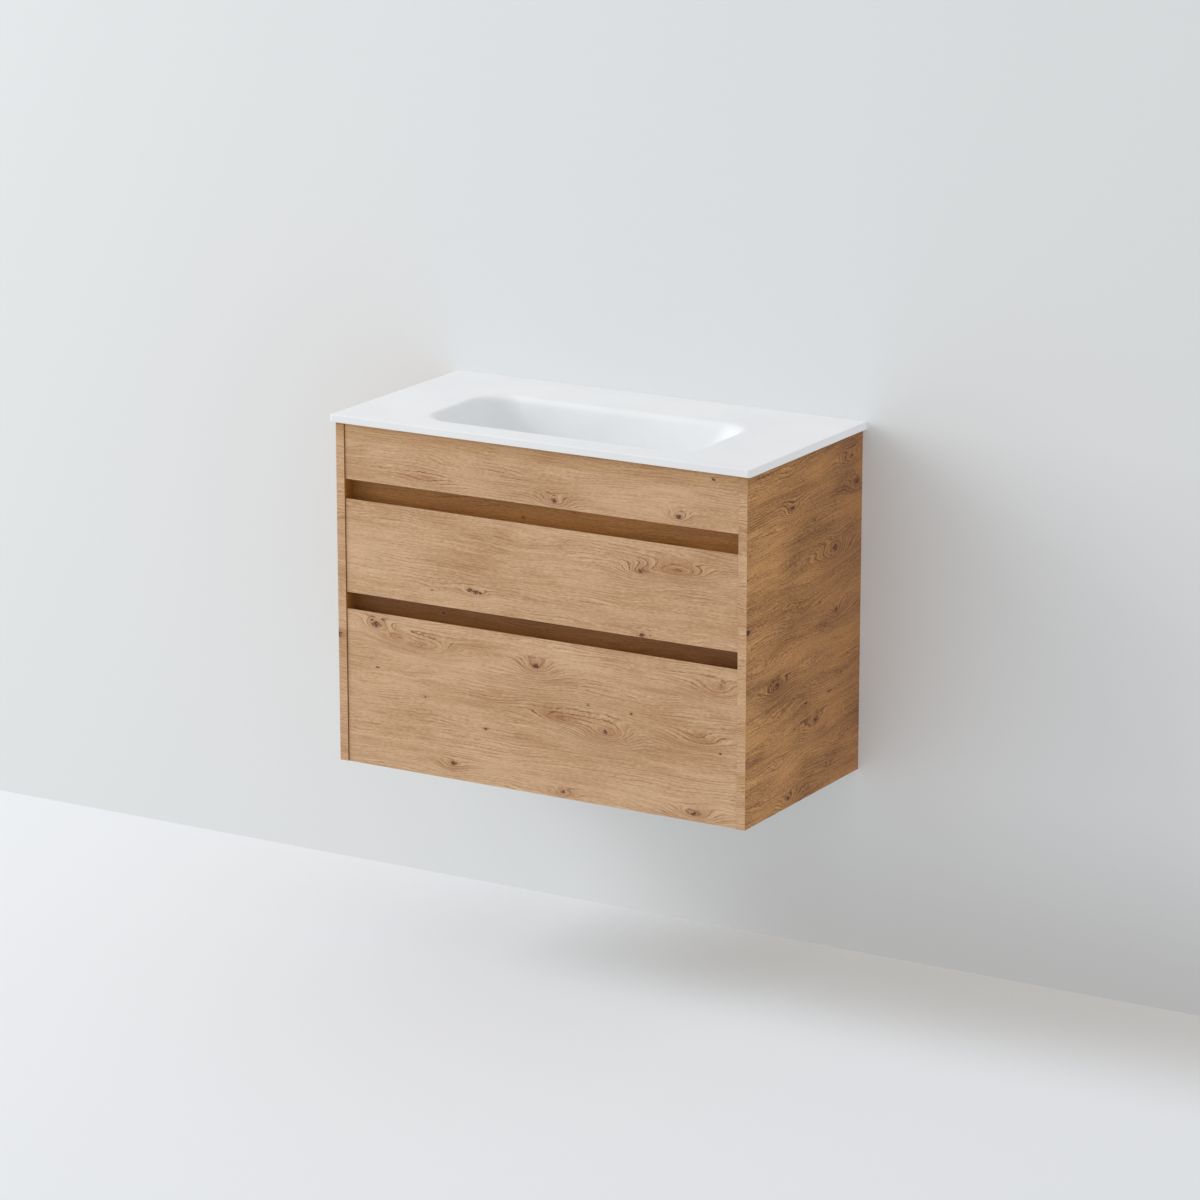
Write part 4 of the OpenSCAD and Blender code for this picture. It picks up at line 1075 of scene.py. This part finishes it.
# %% Screw shape
def screw_shape(length, head):
    """Points and faces of a screw along +Z, with its head's face at Z = 0, in millimetres."""
    def thread(z):
        thin = min(1.0, max(0.05, (length - z) / tip_length))
        phases = [(z / screw_pitch - k / screw_sides) % 1.0 for k in range(screw_sides)]
        crests = [max(0.0, 1 - abs(phase - 0.5) * 4) for phase in phases]
        return ring_of(z, [(screw_core + (screw_crest - screw_core) * crest) * thin for crest in crests])

    rings = [ring_of(0, [head - 0.1] * screw_sides), ring_of(0.1, [head - 0.04] * screw_sides)]
    rings.append(ring_of(head_deep, [screw_core + 0.2] * screw_sides))
    steps = int((length - thread_start) / (screw_pitch / 6))
    rings += [thread(thread_start + (length - thread_start) * k / steps) for k in range(steps + 1)]
    points, faces = loft(rings)
    start = len(points)
    faces.append(range(start - screw_sides, start))
    upper = cross_outline(head * cross_reach, head * cross_half, 0)
    lower = cross_outline(head * floor_reach, head * floor_half, head_deep * cross_deep)
    recess_points, recess_faces = loft([upper, lower])
    points += recess_points
    faces += [[start + k for k in face] for face in recess_faces]
    faces.append(range(start + len(upper), start + 2 * len(upper)))
    rim = [*range(screw_sides), *range(start, start + len(upper))]
    flat = [[Vector(p) for p in loop] for loop in (rings[0], upper)]
    faces += [[rim[k] for k in triangle] for triangle in tessellate_polygon(flat)]
    return points, faces


print("a screw of 16 mm has", len(screw_shape(16, 3.5)[1]), "faces")

# %% [markdown]
# The screws of one node become one mesh, because they move as one. Each shape is turned so that its Z runs
# along its pin, and moved to the pin's start. At the end all faces are made to look outwards, and only the
# round parts are shaded smooth.

# %% Screws in place
def place_shapes(name, node, body, material, shape_for):
    """One mesh with a shape on each pin of a CAD node, in that node's stead."""
    points, faces = [], []
    for start, way, length, radius in map(pin_of, solids_of(node)):
        turn = way.to_track_quat("Z", "Y")
        shape_points, shape_faces = shape_for(length / MM, radius / MM)
        faces += [[len(points) + k for k in face] for face in shape_faces]
        points += [start + turn @ (Vector(p) * MM) for p in shape_points]
    piece = add_mesh(name, points, faces)
    mesh = bmesh.new()
    mesh.from_mesh(piece.data)
    bmesh.ops.recalc_face_normals(mesh, faces=mesh.faces)
    mesh.to_mesh(piece.data)
    mesh.free()
    piece.data.set_sharp_from_angle(angle=math.radians(40))
    piece.data.materials.append(material)
    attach(piece, body)
    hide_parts(node)


for name, body in (("cabinet", "cabinet"), ("upper", "upper_drawer"), ("lower", "lower_drawer")):
    place_shapes(f"{name}_screw_set", f"{body}_screws", body, screw_steel, screw_shape)

# %% [markdown]
# A dowel has chamfered ends and sixteen flutes pressed along it, through which glue and air escape. Every
# fourth of its points lies deeper, which makes the flutes without any cutting.

# %% Dowels
dowel_sides, flute_deep, chamfer_long, chamfer_share = 64, 0.32, 0.9, 0.8


def fluted_dowel(length, radius):
    """Points and faces of a dowel along +Z, in millimetres."""
    radii = [radius - flute_deep * (k % 4 == 0) for k in range(dowel_sides)]
    ends = [r * chamfer_share for r in radii]
    rings = [ring_of(0, ends), ring_of(chamfer_long, radii), ring_of(length - chamfer_long, radii)]
    points, faces = loft(rings + [ring_of(length, ends)])
    return points, faces + [range(dowel_sides), range(3 * dowel_sides, 4 * dowel_sides)]


place_shapes("fluted_dowels", "dowels", "cabinet", beech, fluted_dowel)

# %% [markdown]
# ## The plug
# The plug is turned: a profile, given as radius and height, goes once round the waste's axis. Its cap is a
# part of a large ball with a small round at the rim, and it needs many rings, because chrome shows every
# facet.

# %% Plug
plug_sides, dome_rings = 96, 15
stem_low, cap_low, cap_high, ball_radius = 470, 505.3, 510.8, 102.25
ball_middle = cap_high - ball_radius
plug_profile = [
    (4.2, stem_low), (5, stem_low + 0.8), (5, cap_low - 6), (11, cap_low), (29.3, cap_low),
    (29.8, cap_low + 0.2), (30, cap_low + 0.6),
]
for k in range(dome_rings):
    radius = 29.8 * (1 - (k / dome_rings) ** 1.3)
    plug_profile.append((radius, ball_middle + math.sqrt(ball_radius ** 2 - radius ** 2)))
points, faces = loft([ring_of(height, [radius] * plug_sides) for radius, height in plug_profile])
count = len(points)
for j in range(plug_sides):
    k = (j + 1) % plug_sides
    faces.append((count, k, j))
    faces.append((count + 1, count - plug_sides + j, count - plug_sides + k))
points += [(0, 0, stem_low), (0, 0, cap_high)]
plug = add_mesh("domed_plug", [(x * MM, (y + bowl_middle_y) * MM, z * MM) for x, y, z in points], faces)
plug.data.set_sharp_from_angle(angle=math.radians(50))
plug.data.materials.append(chrome)
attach(plug, "waste_plug")
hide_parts("waste_plug")

# %% [markdown]
# ## The studio
# A pale wall carries the vanity, above a pale floor. Both are seen from their front side only, by the camera
# and in reflections that come from further off than a hand, so the object can be looked at from behind and
# from below, and is lit there too. Both sheets also carry a painted shade on the vanity's right, near the
# corner between them behind the object, where in a real room the vanity's shadow and the corner keep light
# out.

# %% Wall and floor
floor_z, wall_y, reach = -0.33, 0.0002, 9.0


def choose_shader(tree, share, first, second, output):
    """Show the second shader where the share is 1, and the first one elsewhere."""
    either = tree.nodes.new("ShaderNodeMixShader")
    feed(tree, share, either.inputs[0])
    tree.links.new(first.outputs[0], either.inputs[1])
    tree.links.new(second.outputs[0], either.inputs[2])
    tree.links.new(either.outputs[0], tree.nodes[output].inputs["Surface"])


def stage_sheet(name, first_edge, last_edge, colors, axis, plain_until, shade_from):
    """A flat sheet from an edge at Y and Z to another one, with painted shade along an axis on the vanity's
    right.
    """
    corners = [(-reach, *first_edge), (reach, *first_edge), (reach, *last_edge), (-reach, *last_edge)]
    mesh = bpy.data.meshes.new(name)
    mesh.from_pydata(corners, [], [(0, 1, 2, 3)])
    sheet = add_object(name, mesh)
    material, tree, shader = new_material(name, Roughness=0.95, Specular_IOR_Level=0.1)
    place = place_of_point(tree)
    first, second, painted_shade = (linear(*color) for color in colors)
    plain = blend(tree, noise(tree, *(c * 0.8 for c in place)), first, second)
    # Painted shade: a darker tone on the vanity's right, towards the corner of wall and floor.
    on_the_right = place[0].rise(-0.2, 0.35)
    corner = place[axis].rise(plain_until, shade_from)
    feed(tree, blend(tree, on_the_right * corner, plain, painted_shade), shader.inputs["Base Color"])
    rays = tree.nodes.new("ShaderNodeLightPath").outputs
    behind = tree.nodes.new("ShaderNodeNewGeometry").outputs["Backfacing"]
    mirrored = Wire(tree, rays["Is Glossy Ray"]) * Wire(tree, rays["Ray Length"]).rise(0.1, 0.3)
    seen = Wire(tree, rays["Is Camera Ray"]).math("MAXIMUM", mirrored)
    seen = seen.math("MAXIMUM", Wire(tree, rays["Is Transmission Ray"])) * Wire(tree, behind).less_from(1.0)
    clear = tree.nodes.new("ShaderNodeBsdfTransparent")
    choose_shader(tree, seen, clear, shader, "Material Output")
    mesh.materials.append(material)
    print(name, "is dull from", shade_from, "m")


# The third colour of each sheet is its painted shade.
wall_colors = [(230, 233, 234), (231, 234, 235), (203, 203, 202)]
floor_colors = [(235, 238, 241), (236, 239, 242), (219, 218, 215)]
stage_sheet("studio_wall", (wall_y, floor_z), (wall_y, reach), wall_colors, 2, 0.04, -0.35)
stage_sheet("studio_floor", (-reach, floor_z), (reach, floor_z), floor_colors, 1, -0.5, -0.06)

# %% [markdown]
# The lamps are wide, so the shadow on the wall stays soft, and they stand on the left, one high and one
# lower, so that the shadow falls to the right and down.

# %% Lamps
lamp_aim = Vector((0, -0.2, 0.3))


def soft_box(name, place, size, power):
    """A square lamp that faces the vanity."""
    lamp_data = bpy.data.lights.new(name, "AREA")
    lamp_data.shape = "SQUARE"
    lamp_data.size = size
    lamp_data.energy = power
    lamp = add_object(name, lamp_data)
    lamp.location = place
    lamp.rotation_mode = "QUATERNION"
    lamp.rotation_quaternion = (lamp_aim - lamp.location).to_track_quat("-Z", "Y")
    print(name, power, "W")


soft_box("soft_key", (-7.2, -2.1, 5.7), 3.6, 196)
soft_box("low_fill", (-6.5, -3.1, 2.3), 3.6, 156)

# %% [markdown]
# The world gives the rest of the light from all round. What the camera and reflections see of it is a plain
# pale grey, chosen apart from the light, so the backdrop can have the photograph's tone.

# %% World
sky_strength = 0.73
world = bpy.data.worlds.new("studio_world")
bpy.context.scene.world = world
world.use_nodes = True
tree = world.node_tree
sky = tree.nodes["Background"]
sky.inputs["Color"].default_value = linear(253, 253, 254)
sky.inputs["Strength"].default_value = sky_strength
backdrop = tree.nodes.new("ShaderNodeBackground")
backdrop.inputs["Color"].default_value = linear(228, 230, 232)
backdrop.inputs["Strength"].default_value = 1.0
rays = tree.nodes.new("ShaderNodeLightPath").outputs
seen = Wire(tree, rays["Is Camera Ray"])
for label in ("Is Glossy Ray", "Is Transmission Ray"):
    seen = seen.math("MAXIMUM", Wire(tree, rays[label]))
choose_shader(tree, seen, sky, backdrop, "World Output")
print("the world gives light at", sky_strength, "of full strength")

# %% [markdown]
